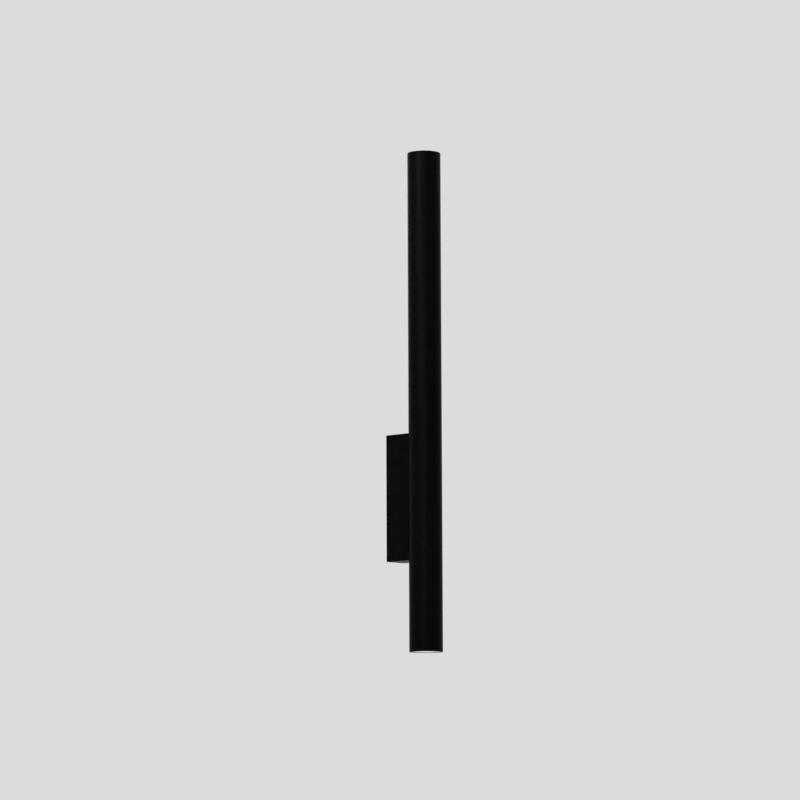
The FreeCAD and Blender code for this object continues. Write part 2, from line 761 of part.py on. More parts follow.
def holder_contacts():
    """Two brass springs, each with a tongue under a pin's head and a foot over its lead hole."""
    floor = -holder_height + holder_pocket_floor
    top = pin_head_end - contact_gap
    far = pin_circle + pin_head_radius
    y = (-contact_width / 2, contact_width / 2)
    tongue = block((lead_exit_offset - contact_thickness, far), y, (top - contact_thickness, top))
    leg = block((far - contact_thickness, far), y, (floor, top))
    foot = block((lead_exit_offset - lead_radius, far), y, (floor, floor + contact_thickness))
    spring = tongue.fuse(leg).fuse(foot).removeSplitter()
    hole = rod_z(conductor_radius + thread_clearance, lead_exit_offset, 0, floor - through, floor + through)
    return both_pins(spring.cut(hole))


def holder_screws():
    """Two countersunk screws through cover and base into the strip's shelf."""
    screw = countersunk_screw(m3_radius, holder_height + strip_thickness + holder_screw_tip, m3_head_radius)
    return [aimed(screw, Vector(0, y, 0), Z) for y in holder_screw_places()]


# ------------------------------------------------------------------ lamp, drawn with the holder's face on z = 0
def lamp_cap():
    """Insulating cap of the lamp, with its two pin holes."""
    top = lamp_seat_gap + lamp_cap_height
    body = rod_z(lamp_cap_radius, 0, 0, lamp_seat_gap, top)
    spigot = lamp_cap_radius - lamp_shell - seat_clearance
    body = body.fuse(rod_z(spigot, 0, 0, top, top + lamp_spigot_height)).removeSplitter()
    hole = rod_z(pin_neck_radius + thread_clearance, pin_circle, 0, 0, pin_root + pin_clearance)
    for hole in both_pins(hole):
        body = body.cut(hole)
    return body


def lamp_pins():
    """Two brass pins with the wider head that the holder's slot locks behind."""
    outline = [
        (0, pin_head_end),
        (pin_head_radius - pin_chamfer, pin_head_end),
        (pin_head_radius, pin_head_end + pin_chamfer),
        (pin_head_radius, pin_head_top),
        (pin_neck_radius, pin_head_top),
        (pin_neck_radius, pin_root),
        (0, pin_root),
    ]
    pin = revolved(outline)
    pin.translate(Vector(pin_circle, 0, 0))
    return both_pins(pin)


def lamp_housing():
    """Finned heat sink of the lamp: a neck on the cap that opens out to the lens rim."""
    foot = lamp_seat_gap + lamp_cap_height
    neck = foot + lamp_neck_height
    outer, inner = lamp_cap_radius, lamp_cap_radius - lamp_shell
    flare = rim_top - lamp_rim_height
    ledge_radius = board_radius - lamp_ledge
    outline = [
        (inner, foot),
        (outer, foot),
        (outer, neck),
        (rim_radius, flare),
        (rim_radius, rim_top),
        (board_radius + board_clearance, rim_top),
        (board_radius + board_clearance, ledge_z),
        (ledge_radius, ledge_z),
        (ledge_radius, ledge_z - lamp_ledge),
        (inner, neck),
    ]
    body = revolved(outline)
    root, low, high = outer - lamp_shell, neck - lamp_fin_start, flare + lamp_shell
    envelope = revolved([(root, low), (rim_radius, neck + lamp_fin_start), (rim_radius, high), (root, high)])
    half = lamp_fin_thickness / 2
    fins = []
    for i in range(lamp_fin_count):
        fin = block((root, rim_radius), (-half, half), (low, high))
        fin.rotate(ORIGIN, Z, 360.0 * i / lamp_fin_count)
        fins.append(fin.common(envelope))
    core = revolved([(0, foot), (outer, foot), (outer, neck), (rim_radius, flare), (rim_radius, rim_top), (0, rim_top)])
    return body.fuse([fin.cut(core) for fin in fins]).removeSplitter()


def lamp_lens():
    """Frosted cap over the light source, snapped over the housing's rim."""
    skirt_inner = lens_radius - lens_skirt
    under = lens_face - lens_thickness
    body = rod_z(lens_radius, 0, 0, lens_face - lens_depth, lens_face)
    body = body.makeFillet(lens_edge_radius, edges_of_top(body, lens_face))
    body = body.cut(rod_z(skirt_inner, 0, 0, 0, rim_top))
    return body.cut(rod_z(board_radius + board_clearance, 0, 0, 0, under))


def lamp_led_board():
    """Aluminium circuit board on the housing's ledge."""
    return rod_z(board_radius, 0, 0, ledge_z, ledge_z + led_board_thickness)


def lamp_leds():
    """Light-emitting chips: one in the middle and a ring around it."""
    half, foot = led_size / 2, ledge_z + led_board_thickness
    chip = block((-half, half), (-half, half), (foot, foot + led_height))
    chips = [chip]
    for i in range(led_count):
        angle = 2 * math.pi * i / led_count
        moved = chip.copy()
        moved.translate(Vector(led_ring_radius * math.cos(angle), led_ring_radius * math.sin(angle), 0))
        chips.append(moved)
    return chips


def lamp_driver():
    """Driver board standing on the cap, with its capacitor and coil."""
    foot = lamp_seat_gap + lamp_cap_height + lamp_spigot_height
    half, thick = driver_width / 2, driver_board / 2
    board = block((-half, half), (-thick, thick), (foot, ledge_z - driver_top_clearance))
    rise = foot + driver_part_rise
    can = rod_z(driver_can_radius, 0, thick + driver_can_radius, rise, rise + driver_can_length)
    reach = driver_coil / 2
    coil = block((-reach, reach), (-thick - driver_coil, -thick), (rise, rise + driver_coil_height))
    return [board, can, coil]


# ------------------------------------------------------------------ leads, earth and cable ties
def holder_lead_z(end):
    """Heights of a lead's bare tip, of the end of its insulation and of the strip's shelf, at one holder."""
    sign = 1 if end == "top" else -1
    floor = -holder_height + holder_pocket_floor
    heights = (floor + contact_thickness, floor - seat_clearance, -holder_height - strip_thickness)
    return [tube_rise + sign * (holder_face_from_middle + z) for z in heights]


def lamp_lead(end, side, pole_x, name):
    """One lead from a lampholder along the strip, through the bush and down into the terminal block."""
    tip_z, start_z, shelf_z = holder_lead_z(end)
    down = -1 if end == "top" else 1
    ties = tie_heights(end)
    screw_z = -down * tube_screw_spacing / 2
    x_start, x_run = side * lead_exit_offset, side * lead_spacing / 2
    bush_lead_z = bush_z - down * lead_spacing / 2
    bow_y = axis_y + lead_bow
    box_y = pole_y - down * lead_step() / 2
    points = [
        Vector(x_start, axis_y, tip_z),
        Vector(x_start, axis_y, start_z),
        Vector(x_start, axis_y, shelf_z + down * 4),
        Vector(x_run, lead_run_y, ties[0] + (shelf_z - ties[0]) * tie_turn_share),
        Vector(x_run, lead_run_y, ties[-1] + (screw_z - ties[-1]) * tie_turn_share),
        Vector(x_run, bow_y, ties[-1] + (screw_z - ties[-1]) * 2 * tie_turn_share),
        Vector(x_run, bow_y, bush_lead_z),
        Vector(x_run, box_y, bush_lead_z),
        Vector(pole_x, box_y, block_top_z + 7),
        Vector(pole_x, box_y, block_top_z),
        Vector(pole_x, box_y, block_top_z - lead_bare_end),
    ]
    return lead(points, name)


def ring_terminal():
    """Ring terminal lying on z = 0 with its barrel along -Y."""
    thick, tail = ring_terminal_thickness, ring_terminal_reach - ring_barrel_length
    body = rod_z(ring_terminal_radius, 0, 0, 0, thick)
    half = ring_barrel_radius - seat_clearance
    body = body.fuse(block((-half, half), (-tail - seat_clearance, 0), (0, thick)))
    mouth = Vector(0, -ring_terminal_reach, thick / 2)
    barrel = Part.makeCylinder(ring_barrel_radius, ring_barrel_length, mouth, Y)
    body = body.fuse(barrel).cut(rod_z(m4_radius + seat_clearance, 0, 0, -through, thick + through))
    bore = Part.makeCylinder(conductor_radius + thread_clearance, ring_barrel_length, mouth - Y * through, Y)
    return body.cut(bore)


def terminal_place(at, outward, barrel):
    """Where a ring terminal sits: at a point, facing outward, with its barrel towards a direction."""
    return Placement(at, Rotation(outward.cross(barrel), -barrel, outward, "ZYX"))


def earth_terminals():
    """Ring terminals under the plate's earth screw and under the upper tube screw."""
    return [moved_to(ring_terminal(), place) for place in earth_places()]


def moved_to(shape, place):
    moved = shape.copy()
    moved.Placement = place
    return moved


def earth_places():
    lean = math.radians(30)
    return (
        terminal_place(Vector(earth_x, earth_collar_y(), earth_screw_z), -Y, -Z),
        terminal_place(
            Vector(0, washer_top_y(), tube_screw_spacing / 2), Y, Vector(-math.sin(lean), 0, -math.cos(lean))
        ),
    )


def barrel_mouth(place, beyond):
    """A point on a ring terminal's barrel axis, that far beyond its mouth."""
    return place.multVec(Vector(0, -ring_terminal_reach - beyond, ring_terminal_thickness / 2))


def earth_leads():
    """Green and yellow leads from the earth pole to the wall plate and to the lamp body."""
    to_plate, to_body = earth_places()
    back, front = pole_y + lead_step() / 2, pole_y - lead_step() / 2
    plate_route = [
        Vector(earth_x, back, block_top_z - lead_bare_end),
        Vector(earth_x, back, block_top_z),
        Vector(earth_x, back, block_top_z + 7),
        barrel_mouth(to_plate, 6),
        barrel_mouth(to_plate, 0.1),
        barrel_mouth(to_plate, -4),
    ]
    body_route = [
        Vector(earth_x, front, block_top_z - lead_bare_end),
        Vector(earth_x, front, block_top_z),
        Vector(earth_x, front, block_top_z + 9),
        Vector(earth_x - 1.0, (front + barrel_mouth(to_body, 0).y) / 2, block_top_z + 22),
        barrel_mouth(to_body, 8),
        barrel_mouth(to_body, 0.1),
        barrel_mouth(to_body, -4),
    ]
    return [lead(plate_route, "earth lead to plate"), lead(body_route, "earth lead to body")]


def earth_screw():
    """The plate's earth screw, which stops short of the wall."""
    seat = earth_collar_y() - ring_terminal_thickness - lock_washer_thickness
    screw = pan_screw(m4_radius, -seat - seat_clearance, m4_head_radius, m4_head_height)
    return aimed(screw, Vector(earth_x, seat, earth_screw_z), -Y)


def cable_ties():
    """Nylon ties that hold each pair of leads to the strip."""
    ties = []
    inner, outer = tie_inside(), tie_inside() + tie_thickness
    front = lead_run_y - lead_radius - tie_clearance
    back = strip_outer_y + thread_clearance
    for z in tie_heights("top") + tie_heights("bottom"):
        z_range = (z - tie_width / 2, z + tie_width / 2)
        band = block((-outer, outer), (front - tie_thickness, back + tie_thickness), z_range)
        band = band.makeFillet(tie_corner, [e for e in band.Edges if abs(e.tangentAt(e.FirstParameter).z) > 0.9])
        band = band.cut(block((-inner, inner), (front, back), (z - tie_width, z + tie_width)))
        head_y, half = front - tie_thickness - tie_head_depth, tie_head / 2
        head = block((-half, half), (head_y, front - tie_thickness / 2), (z - half, z + half))
        tail_y = (head_y + tie_thickness, head_y + 2 * tie_thickness)
        tail = block((half, half + tie_tail), tail_y, z_range)
        ties.append(band.fuse(head).fuse(tail).removeSplitter())
    return ties


# ------------------------------------------------------------------ the assembly
def assembly():
    """Every node's name and its solids."""
    nodes = {
        "tube": [tube()],
        "wall_box": [wall_box()],
        "box_screws": box_screws(),
        "wall_plate": [wall_plate()],
        "cable_grommet": [cable_grommet()],
        "terminal_block": [terminal_block()],
        "terminal_tubes": terminal_tubes(),
        "terminal_screws": terminal_screws(),
        "terminal_block_screws": block_screws(),
        "saddle_washers": saddle_washers(),
        "lock_washers": lock_washers(),
        "tube_screws": tube_screws(),
        "lead_bush": [lead_bush()],
        "carrier_strip": [carrier_strip()],
        "carrier_nuts": strip_nuts(),
        "earth_terminals": earth_terminals(),
        "earth_leads": earth_leads(),
        "earth_screw": [earth_screw()],
        "cable_ties": cable_ties(),
    }
    for end in ("top", "bottom"):
        nodes[f"live_lead_{end}"] = [lamp_lead(end, 1, live_x, f"live lead, {end}")]
        nodes[f"neutral_lead_{end}"] = [lamp_lead(end, -1, neutral_x, f"neutral lead, {end}")]
        for name, solids in end_pieces().items():
            nodes[f"{name}_{end}"] = [at_end(solid, end) for solid in solids]
    return nodes


def end_pieces():
    """The lampholder and lamp, which are the same at both ends of the tube."""
    return {
        "holder_base": [holder_base()],
        "holder_cover": [holder_cover()],
        "holder_contacts": holder_contacts(),
        "holder_screws": holder_screws(),
        "lamp_cap": [lamp_cap()],
        "lamp_pins": lamp_pins(),
        "lamp_housing": [lamp_housing()],
        "lamp_lens": [lamp_lens()],
        "lamp_led_board": [lamp_led_board()],
        "lamp_leds": lamp_leds(),
        "lamp_driver": lamp_driver(),
    }


def export(nodes):
    """Writes one file for each node, and stops at a solid that isn't sound."""
    os.makedirs("parts", exist_ok=True)
    for name, solids in nodes.items():
        whole = [s for shape in solids for s in shape.Solids]
        if len(whole) != len(solids) or not all(s.isValid() and s.Volume > 0 for s in whole):
            raise ValueError(f"{name}: {len(whole)} sound solids from {len(solids)} shapes")
        Part.makeCompound(whole).exportStep(f"parts/{name}.step")
    print(len(nodes), "nodes,", sum(len(s) for s in nodes.values()), "solids")


export(assembly())
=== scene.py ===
import math

import bmesh
import bpy
from mathutils import Matrix, Vector


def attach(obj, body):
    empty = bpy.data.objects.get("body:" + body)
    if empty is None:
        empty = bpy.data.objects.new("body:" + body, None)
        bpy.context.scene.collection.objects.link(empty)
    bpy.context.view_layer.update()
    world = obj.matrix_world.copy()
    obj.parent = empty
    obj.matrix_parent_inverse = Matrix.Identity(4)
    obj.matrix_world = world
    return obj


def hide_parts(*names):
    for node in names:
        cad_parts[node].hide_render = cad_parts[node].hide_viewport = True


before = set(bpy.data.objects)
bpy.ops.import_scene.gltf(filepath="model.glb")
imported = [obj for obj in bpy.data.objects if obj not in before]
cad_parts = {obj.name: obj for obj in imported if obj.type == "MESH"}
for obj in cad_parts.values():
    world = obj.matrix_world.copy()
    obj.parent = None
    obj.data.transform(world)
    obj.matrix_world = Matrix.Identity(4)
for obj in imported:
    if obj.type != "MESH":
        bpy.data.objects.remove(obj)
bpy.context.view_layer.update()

# ------------------------------------------------------------------ the view
# The camera stands to the left of the light and a little below it, with a long lens, as the
# photograph's did. Its place was solved from the tube's outline and the wall box's corners.
view_place = Vector((-3.28984, -3.05950, -0.43903))
view_turn, view_tilt, view_roll = (math.radians(angle) for angle in (-47.165, -7.096, -0.226))
view_lens = 169.29
camera_data = bpy.data.cameras.new("view")
camera_data.lens = view_lens
camera = bpy.data.objects.new("view", camera_data)
bpy.context.collection.objects.link(camera)
camera.matrix_world = (
    Matrix.Translation(view_place)
    @ Matrix.Rotation(view_turn, 4, "Z")
    @ Matrix.Rotation(math.radians(90) - view_tilt, 4, "X")
    @ Matrix.Rotation(view_roll, 4, "Z")
)
bpy.context.scene.camera = camera
bpy.context.scene.view_settings.view_transform = "Standard"

# ------------------------------------------------------------------ the studio
# A plain pale floor well below the light, a pale surround that fades into it, one high soft lamp on
# the left that draws the tube's long highlight, and two weaker ones beside the camera and behind.
floor_height = -0.62
floor_reach = 12.0
surround_tone = (1.0, 0.995, 0.985, 1.0)
surround_seen, surround_light = 0.72, 0.46
paper_tone = (0.88, 0.875, 0.865, 1)
fade_from, fade_to = 1.2, 6.0
lamps_aim = Vector((0, -0.05, 0.15))


def add(tree, kind, inputs=None, **settings):
    """One new node with its settings, and with its inputs set to values or linked."""
    node = tree.nodes.new("ShaderNode" + kind)
    for key, value in settings.items():
        setattr(node, key, value)
    for socket, value in (inputs or {}).items():
        if isinstance(value, bpy.types.NodeSocket):
            tree.links.new(value, node.inputs[socket])
        else:
            node.inputs[socket].default_value = value
    return node


def surround_strength(tree):
    """How bright the surround is: pale where it is seen or mirrored, softer as light."""
    path = add(tree, "LightPath").outputs
    direct = add(tree, "Math", {0: path["Is Camera Ray"], 1: path["Is Glossy Ray"]}, operation="ADD")
    through = {0: direct.outputs[0], 1: path["Is Transmission Ray"]}
    seen = add(tree, "Math", through, operation="ADD", use_clamp=True)
    spread = {0: seen.outputs[0], 1: surround_seen - surround_light, 2: surround_light}
    return add(tree, "Math", spread, operation="MULTIPLY_ADD").outputs[0]


world = bpy.data.worlds.new("studio")
world.use_nodes = True
bpy.context.scene.world = world
background = world.node_tree.nodes["Background"]
background.inputs["Color"].default_value = surround_tone
world.node_tree.links.new(surround_strength(world.node_tree), background.inputs["Strength"])

floor_mesh = bmesh.new()
bmesh.ops.create_circle(floor_mesh, cap_ends=True, segments=96, radius=floor_reach)
bmesh.ops.translate(floor_mesh, vec=(0, 0, floor_height), verts=floor_mesh.verts)
floor_data = bpy.data.meshes.new("studio_floor")
floor_mesh.to_mesh(floor_data)
floor_mesh.free()
floor = bpy.data.objects.new("studio_floor", floor_data)
bpy.context.collection.objects.link(floor)
floor_finish = bpy.data.materials.new("studio_floor")
floor_finish.use_nodes = True
tree = floor_finish.node_tree
tree.nodes.clear()
paper = add(tree, "BsdfDiffuse", {"Color": paper_tone})
glow = add(tree, "Emission", {"Color": surround_tone, "Strength": surround_strength(tree)})
away = add(tree, "VectorMath", {0: add(tree, "TexCoord").outputs["Object"]}, operation="LENGTH")
fade_range = {"Value": away.outputs["Value"], "From Min": fade_from, "From Max": fade_to}
fade = add(tree, "MapRange", fade_range, interpolation_type="SMOOTHSTEP")
top = add(tree, "MixShader", {0: fade.outputs[0], 1: paper.outputs[0], 2: glow.outputs[0]})
underside = add(tree, "NewGeometry").outputs["Backfacing"]
clear = add(tree, "BsdfTransparent")
sheet = add(tree, "MixShader", {0: underside, 1: top.outputs[0], 2: clear.outputs[0]})
add(tree, "OutputMaterial", {"Surface": sheet.outputs[0]})
floor_data.materials.append(floor_finish)

for name, place, size, watts in (
    ("lamp_left_high", (-1.9, -0.12, 1.35), (0.9, 0.9), 28.0),
    ("lamp_near_camera", (-2.6, -1.5, 0.7), (1.2, 1.2), 16.0),
    ("lamp_behind", (1.4, 1.9, 1.0), (1.4, 1.4), 14.0),
):
    lamp_data = bpy.data.lights.new(name, "AREA")
    lamp_data.shape = "RECTANGLE"
    lamp_data.size, lamp_data.size_y = size
    lamp_data.energy = watts
    lamp = bpy.data.objects.new(name, lamp_data)
    bpy.context.collection.objects.link(lamp)
    facing = (lamps_aim - Vector(place)).to_track_quat("-Z", "Y").to_matrix().to_4x4()
    lamp.matrix_world = Matrix.Translation(place) @ facing

# ------------------------------------------------------------------ wall plate
# The bent steel plate that two wood screws hold to the wall, with a tab at each end for the box.
# It is pressed from zinc-plated sheet, so it shows the rolling direction and small handling marks.
zinc_dull, zinc_bright = (0.44, 0.45, 0.455, 1), (0.56, 0.56, 0.55, 1)


def surface(name, values):
    """A material, with values that are the same all over set on its shader's own sockets."""
    material = bpy.data.materials.new(name)
    material.use_nodes = True
    shader = material.node_tree.nodes["Principled BSDF"]
    for socket, value in values.items():
        shader.inputs[socket].default_value = value
    return material, material.node_tree, shader


def grain(tree, size, stretch=(1, 1, 1), detail=3.0):
    """Noise with grains about that many millimetres across, drawn out along the stretched axes."""
    place = add(tree, "TexCoord").outputs["Object"]
    fitted = add(tree, "Mapping", {"Vector": place, "Scale": [1000 / (size * s) for s in stretch]})
    return add(tree, "TexNoise", {"Vector": fitted.outputs[0], "Scale": 1.0, "Detail": detail}).outputs[0]


def ramp(tree, level, *stops):
    """A colour or a grey for a level from 0 to 1, passing through the stops."""
    node = add(tree, "ValToRGB", {"Fac": level})
    elements = node.color_ramp.elements
    for i, (at, tone) in enumerate(stops):
        element = elements[0] if i == 0 else elements[-1] if i == len(stops) - 1 else elements.new(at)
        element.position = at
        element.color = tone if isinstance(tone, tuple) else (tone, tone, tone, 1)
    return node.outputs[0]


def relief(tree, height, depth, under=None):
    """Fine unevenness that many millimetres deep, on top of any that is under it."""
    inputs = {"Height": height, "Distance": depth / 1000, "Strength": 1.0}
    if under is not None:
        inputs["Normal"] = under
    return add(tree, "Bump", inputs).outputs[0]


def edges(tree, reach):
    """1 along the edges and 0 on the faces, over about that many millimetres."""
    soft = add(tree, "Bevel", {"Radius": reach / 1000}, samples=6).outputs[0]
    flat = add(tree, "NewGeometry").outputs["Normal"]
    turn = add(tree, "VectorMath", {0: soft, 1: flat}, operation="DOT_PRODUCT").outputs["Value"]
    return ramp(tree, turn, (0.80, 1.0), (0.985, 0.0))


def blend_tones(tree, level, first, second):
    """From the first colour or socket to the second, by a level."""
    return add(tree, "Mix", {0: level, 6: first, 7: second}, data_type="RGBA").outputs[2]


def rolled_metal(name, dull, bright, along=(1, 1, 12), rough=(0.26, 0.42)):
    """Plated or drawn metal: faint clouds, lines along the way it was worked, scratches, worn edges."""
    material, tree, shader = surface(name, {"Metallic": 1.0})
    clouds = grain(tree, 7.0, detail=3.0)
    lines = grain(tree, 0.22, along, detail=2.0)
    hairlines = grain(tree, 0.5, (along[2] * 1.5, 1, along[0] * 1.2), detail=1.0)
    scratch = ramp(tree, hairlines, (0.70, 0.0), (0.74, 1.0))
    tone = ramp(tree, clouds, (0.3, dull), (0.7, bright))
    worn = tuple(min(1.0, c * 1.3) for c in bright[:3]) + (1,)
    bared = add(tree, "Math", {0: edges(tree, 0.35), 1: scratch}, operation="MAXIMUM").outputs[0]
    tree.links.new(blend_tones(tree, bared, tone, worn), shader.inputs["Base Color"])
    tree.links.new(ramp(tree, lines, (0.25, rough[0]), (0.75, rough[1])), shader.inputs["Roughness"])
    marks = relief(tree, lines, 0.005)
    tree.links.new(relief(tree, grain(tree, 2.6), 0.012, marks), shader.inputs["Normal"])
    return material


def dress(material, *nodes):
    """Gives the finish to CAD nodes that stay as they are."""
    for name in nodes:
        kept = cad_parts[name]
        if not kept.material_slots:
            kept.data.materials.append(material)
        for slot in kept.material_slots:
            slot.material = material


zinc_sheet = rolled_metal("zinc_plated_sheet", zinc_dull, zinc_bright)
dress(zinc_sheet, "wall_plate")

# ------------------------------------------------------------------ cable grommet
# The soft rubber ring that keeps the supply cable off the plate's edge: a groove that the sheet
# snaps into, between two rounded flanges. It is moulded, with a dull, slightly dusty skin.
grommet_bore, grommet_groove, grommet_flange = 4.0, 5.9, 7.5
grommet_front, grommet_back, grommet_lip, grommet_ease = -5.5, -0.5, 1.5, 0.45
cable_entry_z = -36.0
black_rubber_tone, dusty_rubber_tone = (0.012, 0.012, 0.012, 1), (0.045, 0.043, 0.04, 1)


def ring(radius, height, sides=96):
    """Points round the Z axis at one height, or the one point on the axis."""
    if radius == 0:
        return [(0, 0, height)]
    angles = [2 * math.pi * i / sides for i in range(sides)]
    return [(radius * math.cos(a), radius * math.sin(a), height) for a in angles]


def skin(rings, closed=False):
    """A mesh over rings of points; a ring of one point closes an end."""
    mesh = bmesh.new()
    rows = [[mesh.verts.new(point) for point in points] for points in rings]
    pairs = list(zip(rows, rows[1:])) + ([(rows[-1], rows[0])] if closed else [])
    for low, high in pairs:
        count = max(len(low), len(high))
        for i in range(count):
            j = (i + 1) % count
            corners = (low[i % len(low)], low[j % len(low)], high[j % len(high)], high[i % len(high)])
            mesh.faces.new(list(dict.fromkeys(corners)))
    return mesh


def rounded(corners, radius, steps=5):
    """A closed outline over flat corners, each eased over that distance by a short curve."""
    outline = []
    for i, corner in enumerate(corners):
        here = Vector(corner)
        into = (Vector(corners[i - 1]) - here).normalized()
        out = (Vector(corners[(i + 1) % len(corners)]) - here).normalized()
        for k in range(steps + 1):
            t = k / steps
            outline.append(here + into * radius * (1 - t) ** 2 + out * radius * t**2)
    return [tuple(point) for point in outline]


def aim(x, y, z, direction=(0, 0, 1), turn=0.0):
    """Where a shape drawn up the Z axis goes: its foot, the way it points, and its own turn."""
    tilt = Vector((0, 0, 1)).rotation_difference(Vector(direction)).to_matrix().to_4x4()
    return Matrix.Translation((x, y, z)) @ tilt @ Matrix.Rotation(math.radians(turn), 4, "Z")


def set_down(mesh, *places):
    """One mesh with the shape at each place."""
    bmesh.ops.recalc_face_normals(mesh, faces=mesh.faces)
    data = bpy.data.meshes.new("shape")
    mesh.to_mesh(data)
    mesh.free()
    together = bmesh.new()
    for place in places:
        count = len(together.verts)
        together.from_mesh(data)
        together.verts.ensure_lookup_table()
        bmesh.ops.transform(together, matrix=place, verts=together.verts[count:])
    bpy.data.meshes.remove(data)
    return together


def piece(name, mesh, body, slot, materials, *nodes, sharp=32):
    """Puts a mesh drawn in millimetres into the scene, on its body and in place of its CAD nodes."""
    bmesh.ops.scale(mesh, vec=(0.001, 0.001, 0.001), verts=mesh.verts)
    data = bpy.data.meshes.new(name)
    mesh.to_mesh(data)
    mesh.free()
    data.shade_smooth()
    data.set_sharp_from_angle(angle=math.radians(sharp))
    for material in materials:
        data.materials.append(material)
    made = bpy.data.objects.new(name, data)
    bpy.context.collection.objects.link(made)
    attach(made, body)
    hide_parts(*nodes)
    return made


def eased(tree, reach):
    """The surface's direction, turned over its sharp edges as a mould leaves them."""
    return add(tree, "Bevel", {"Radius": reach / 1000}, samples=4).outputs[0]


def moulded(name, tone, other, values, fine, deep):
    """A moulded skin: two close tones, eased edges, and a grain that fine and that deep."""
    material, tree, shader = surface(name, values)
    cloud = grain(tree, 3.0, detail=4.0)
    tree.links.new(ramp(tree, cloud, (0.35, tone), (0.75, other)), shader.inputs["Base Color"])
    pores = grain(tree, fine)
    smooth, dull = values["Roughness"] - 0.06, values["Roughness"] + 0.06
    tree.links.new(ramp(tree, pores, (0.2, smooth), (0.8, dull)), shader.inputs["Roughness"])
    tree.links.new(relief(tree, pores, deep, eased(tree, 0.2)), shader.inputs["Normal"])
    return material


grommet_outline = rounded(
    [
        (grommet_bore, grommet_front),
        (grommet_flange, grommet_front),
        (grommet_flange, grommet_front + grommet_lip),
        (grommet_groove, grommet_front + grommet_lip),
        (grommet_groove, grommet_back - grommet_lip),
        (grommet_flange, grommet_back - grommet_lip),
        (grommet_flange, grommet_back),
        (grommet_bore, grommet_back),
    ],
    grommet_ease,
)
grommet_shape = skin([ring(r, z) for r, z in grommet_outline], closed=True)
grommet_place = Matrix.Translation((0, 0, cable_entry_z)) @ Matrix.Rotation(math.radians(-90), 4, "X")
rubber_look = {"Roughness": 0.72}
rubber = moulded("black_rubber", black_rubber_tone, dusty_rubber_tone, rubber_look, fine=0.25, deep=0.012)
grommet_mesh = set_down(grommet_shape, grommet_place)
piece("grommet", grommet_mesh, "fixture", "rubber", [rubber], "cable_grommet", sharp=50)

# ------------------------------------------------------------------ terminal block
# Three brass tubes in a moulded nylon block, each with two slotted clamp screws, and two fixing
# screws between its towers. It joins the lamps' leads to the supply.
nylon_tone, nylon_shade = (0.76, 0.745, 0.68, 1), (0.71, 0.69, 0.61, 1)
brass_dark, brass_bright = (0.42, 0.27, 0.09, 1), (0.70, 0.50, 0.20, 1)
pole_places = (-8.8, 0.0, 8.8)
pole_y, pole_half, pole_bore, plate_front_y = -7.6, 3.6, 2.6, -2.0
block_front_y, block_ends, block_ease = -12.0, (-14.0, 3.0), 0.35
web_half, web_ends, web_ease = 10.0, (-8.5, -2.5), 0.3
tower_front_y, tower_radius, tower_root, tower_ease, well_radius = -16.0, 3.4, 1.5, 0.45, 2.0
run_past, bore_reach, face_step, small_pitch = 1.0, 20.0, 0.01, 0.45
clamp_heights, clamp_tips = (-9.7, -1.3), (-9.6, -9.35)
clamp_length, clamp_radius, clamp_head_radius, clamp_head_height, clamp_rim = 4.0, 1.35, 1.85, 1.8, 0.15
fixing_places, fixing_y, fixing_z = (-4.4, 4.4), -12.0, -5.5
fixing_radius, fixing_length, fixing_head_radius, fixing_head_height = 1.2, 11.9, 2.2, 1.6
fixing_gap = 0.15
clamp_slot_width, clamp_slot_depth, fixing_cross_width, fixing_cross_depth = 0.6, 0.7, 2.4, 0.9


def cut(body, *tools, way="DIFFERENCE"):
    """Takes closed meshes away from a mesh or, as a UNION, joins them to it."""
    hosts = []
    for shape in (body, *tools):
        bmesh.ops.recalc_face_normals(shape, faces=shape.faces)
        data = bpy.data.meshes.new("shape")
        shape.to_mesh(data)
        shape.free()
        hosts.append(bpy.data.objects.new("shape", data))
        bpy.context.collection.objects.link(hosts[-1])
    for tool in hosts[1:]:
        taken = hosts[0].modifiers.new("cut", "BOOLEAN")
        taken.object, taken.solver, taken.operation = tool, "EXACT", way
    bpy.context.view_layer.update()
    left = bpy.data.meshes.new_from_object(hosts[0].evaluated_get(bpy.context.evaluated_depsgraph_get()))
    mesh = bmesh.new()
    mesh.from_mesh(left)
    for host in hosts:
        data = host.data
        bpy.data.objects.remove(host)
        bpy.data.meshes.remove(data)
    bpy.data.meshes.remove(left)
    return mesh


def threaded(radius, length, pitch, head, sides=32, rows=6):
    """A screw: a shank with a helical thread up from z = -length, then its head's outline."""
    depth = 0.54 * pitch
    rings = [ring(0, -length), ring(radius - depth - 0.1, -length, sides)]
    count = int((length - 0.5) / pitch * rows)
    for k in range(count + 1):
        z = -length + 0.15 + k * (length - 0.3) / count
        fade = min(1.0, (z + length) / pitch, -z / (0.6 * pitch))
        points = []
        for i in range(sides):
            phase = (z / pitch - i / sides) % 1
            crest = 1 - abs(2 * phase - 1)
            r = radius - depth * (1 - crest * fade)
            angle = 2 * math.pi * i / sides
            points.append((r * math.cos(angle), r * math.sin(angle), z))
        rings.append(points)
    rings += [ring(r, z, sides) for r, z in head]
    return skin(rings)


def cross_tool(width, depth, top):
    """A cutter shaped as the tapered point of a cross-head driver."""
    rings = []
    for share, z in ((1.08, top + 0.3), (1.0, top), (0.62, top - depth)):
        reach, arm = width / 2 * share, width / 10
        corner = ((reach, arm), (arm, arm), (arm, reach), (-arm, reach), (-arm, arm), (-reach, arm))
        rings.append([(x, y, z) for x, y in corner] + [(-x, -y, z) for x, y in corner])
    return skin([[(0, 0, top + 0.3)], *rings, [(0, 0, top - depth * 1.3)]])


def slot_tool(width, depth, reach, top):
    """A straight cutter for the slot across a screw's head."""
    rings = []
    for z in (top + 0.3, top - depth):
        half = width / 2
        rings.append([(-reach, -half, z), (reach, -half, z), (reach, half, z), (-reach, half, z)])
    return skin([[(0, 0, top + 0.3)], *rings, [(0, 0, top - depth)]])


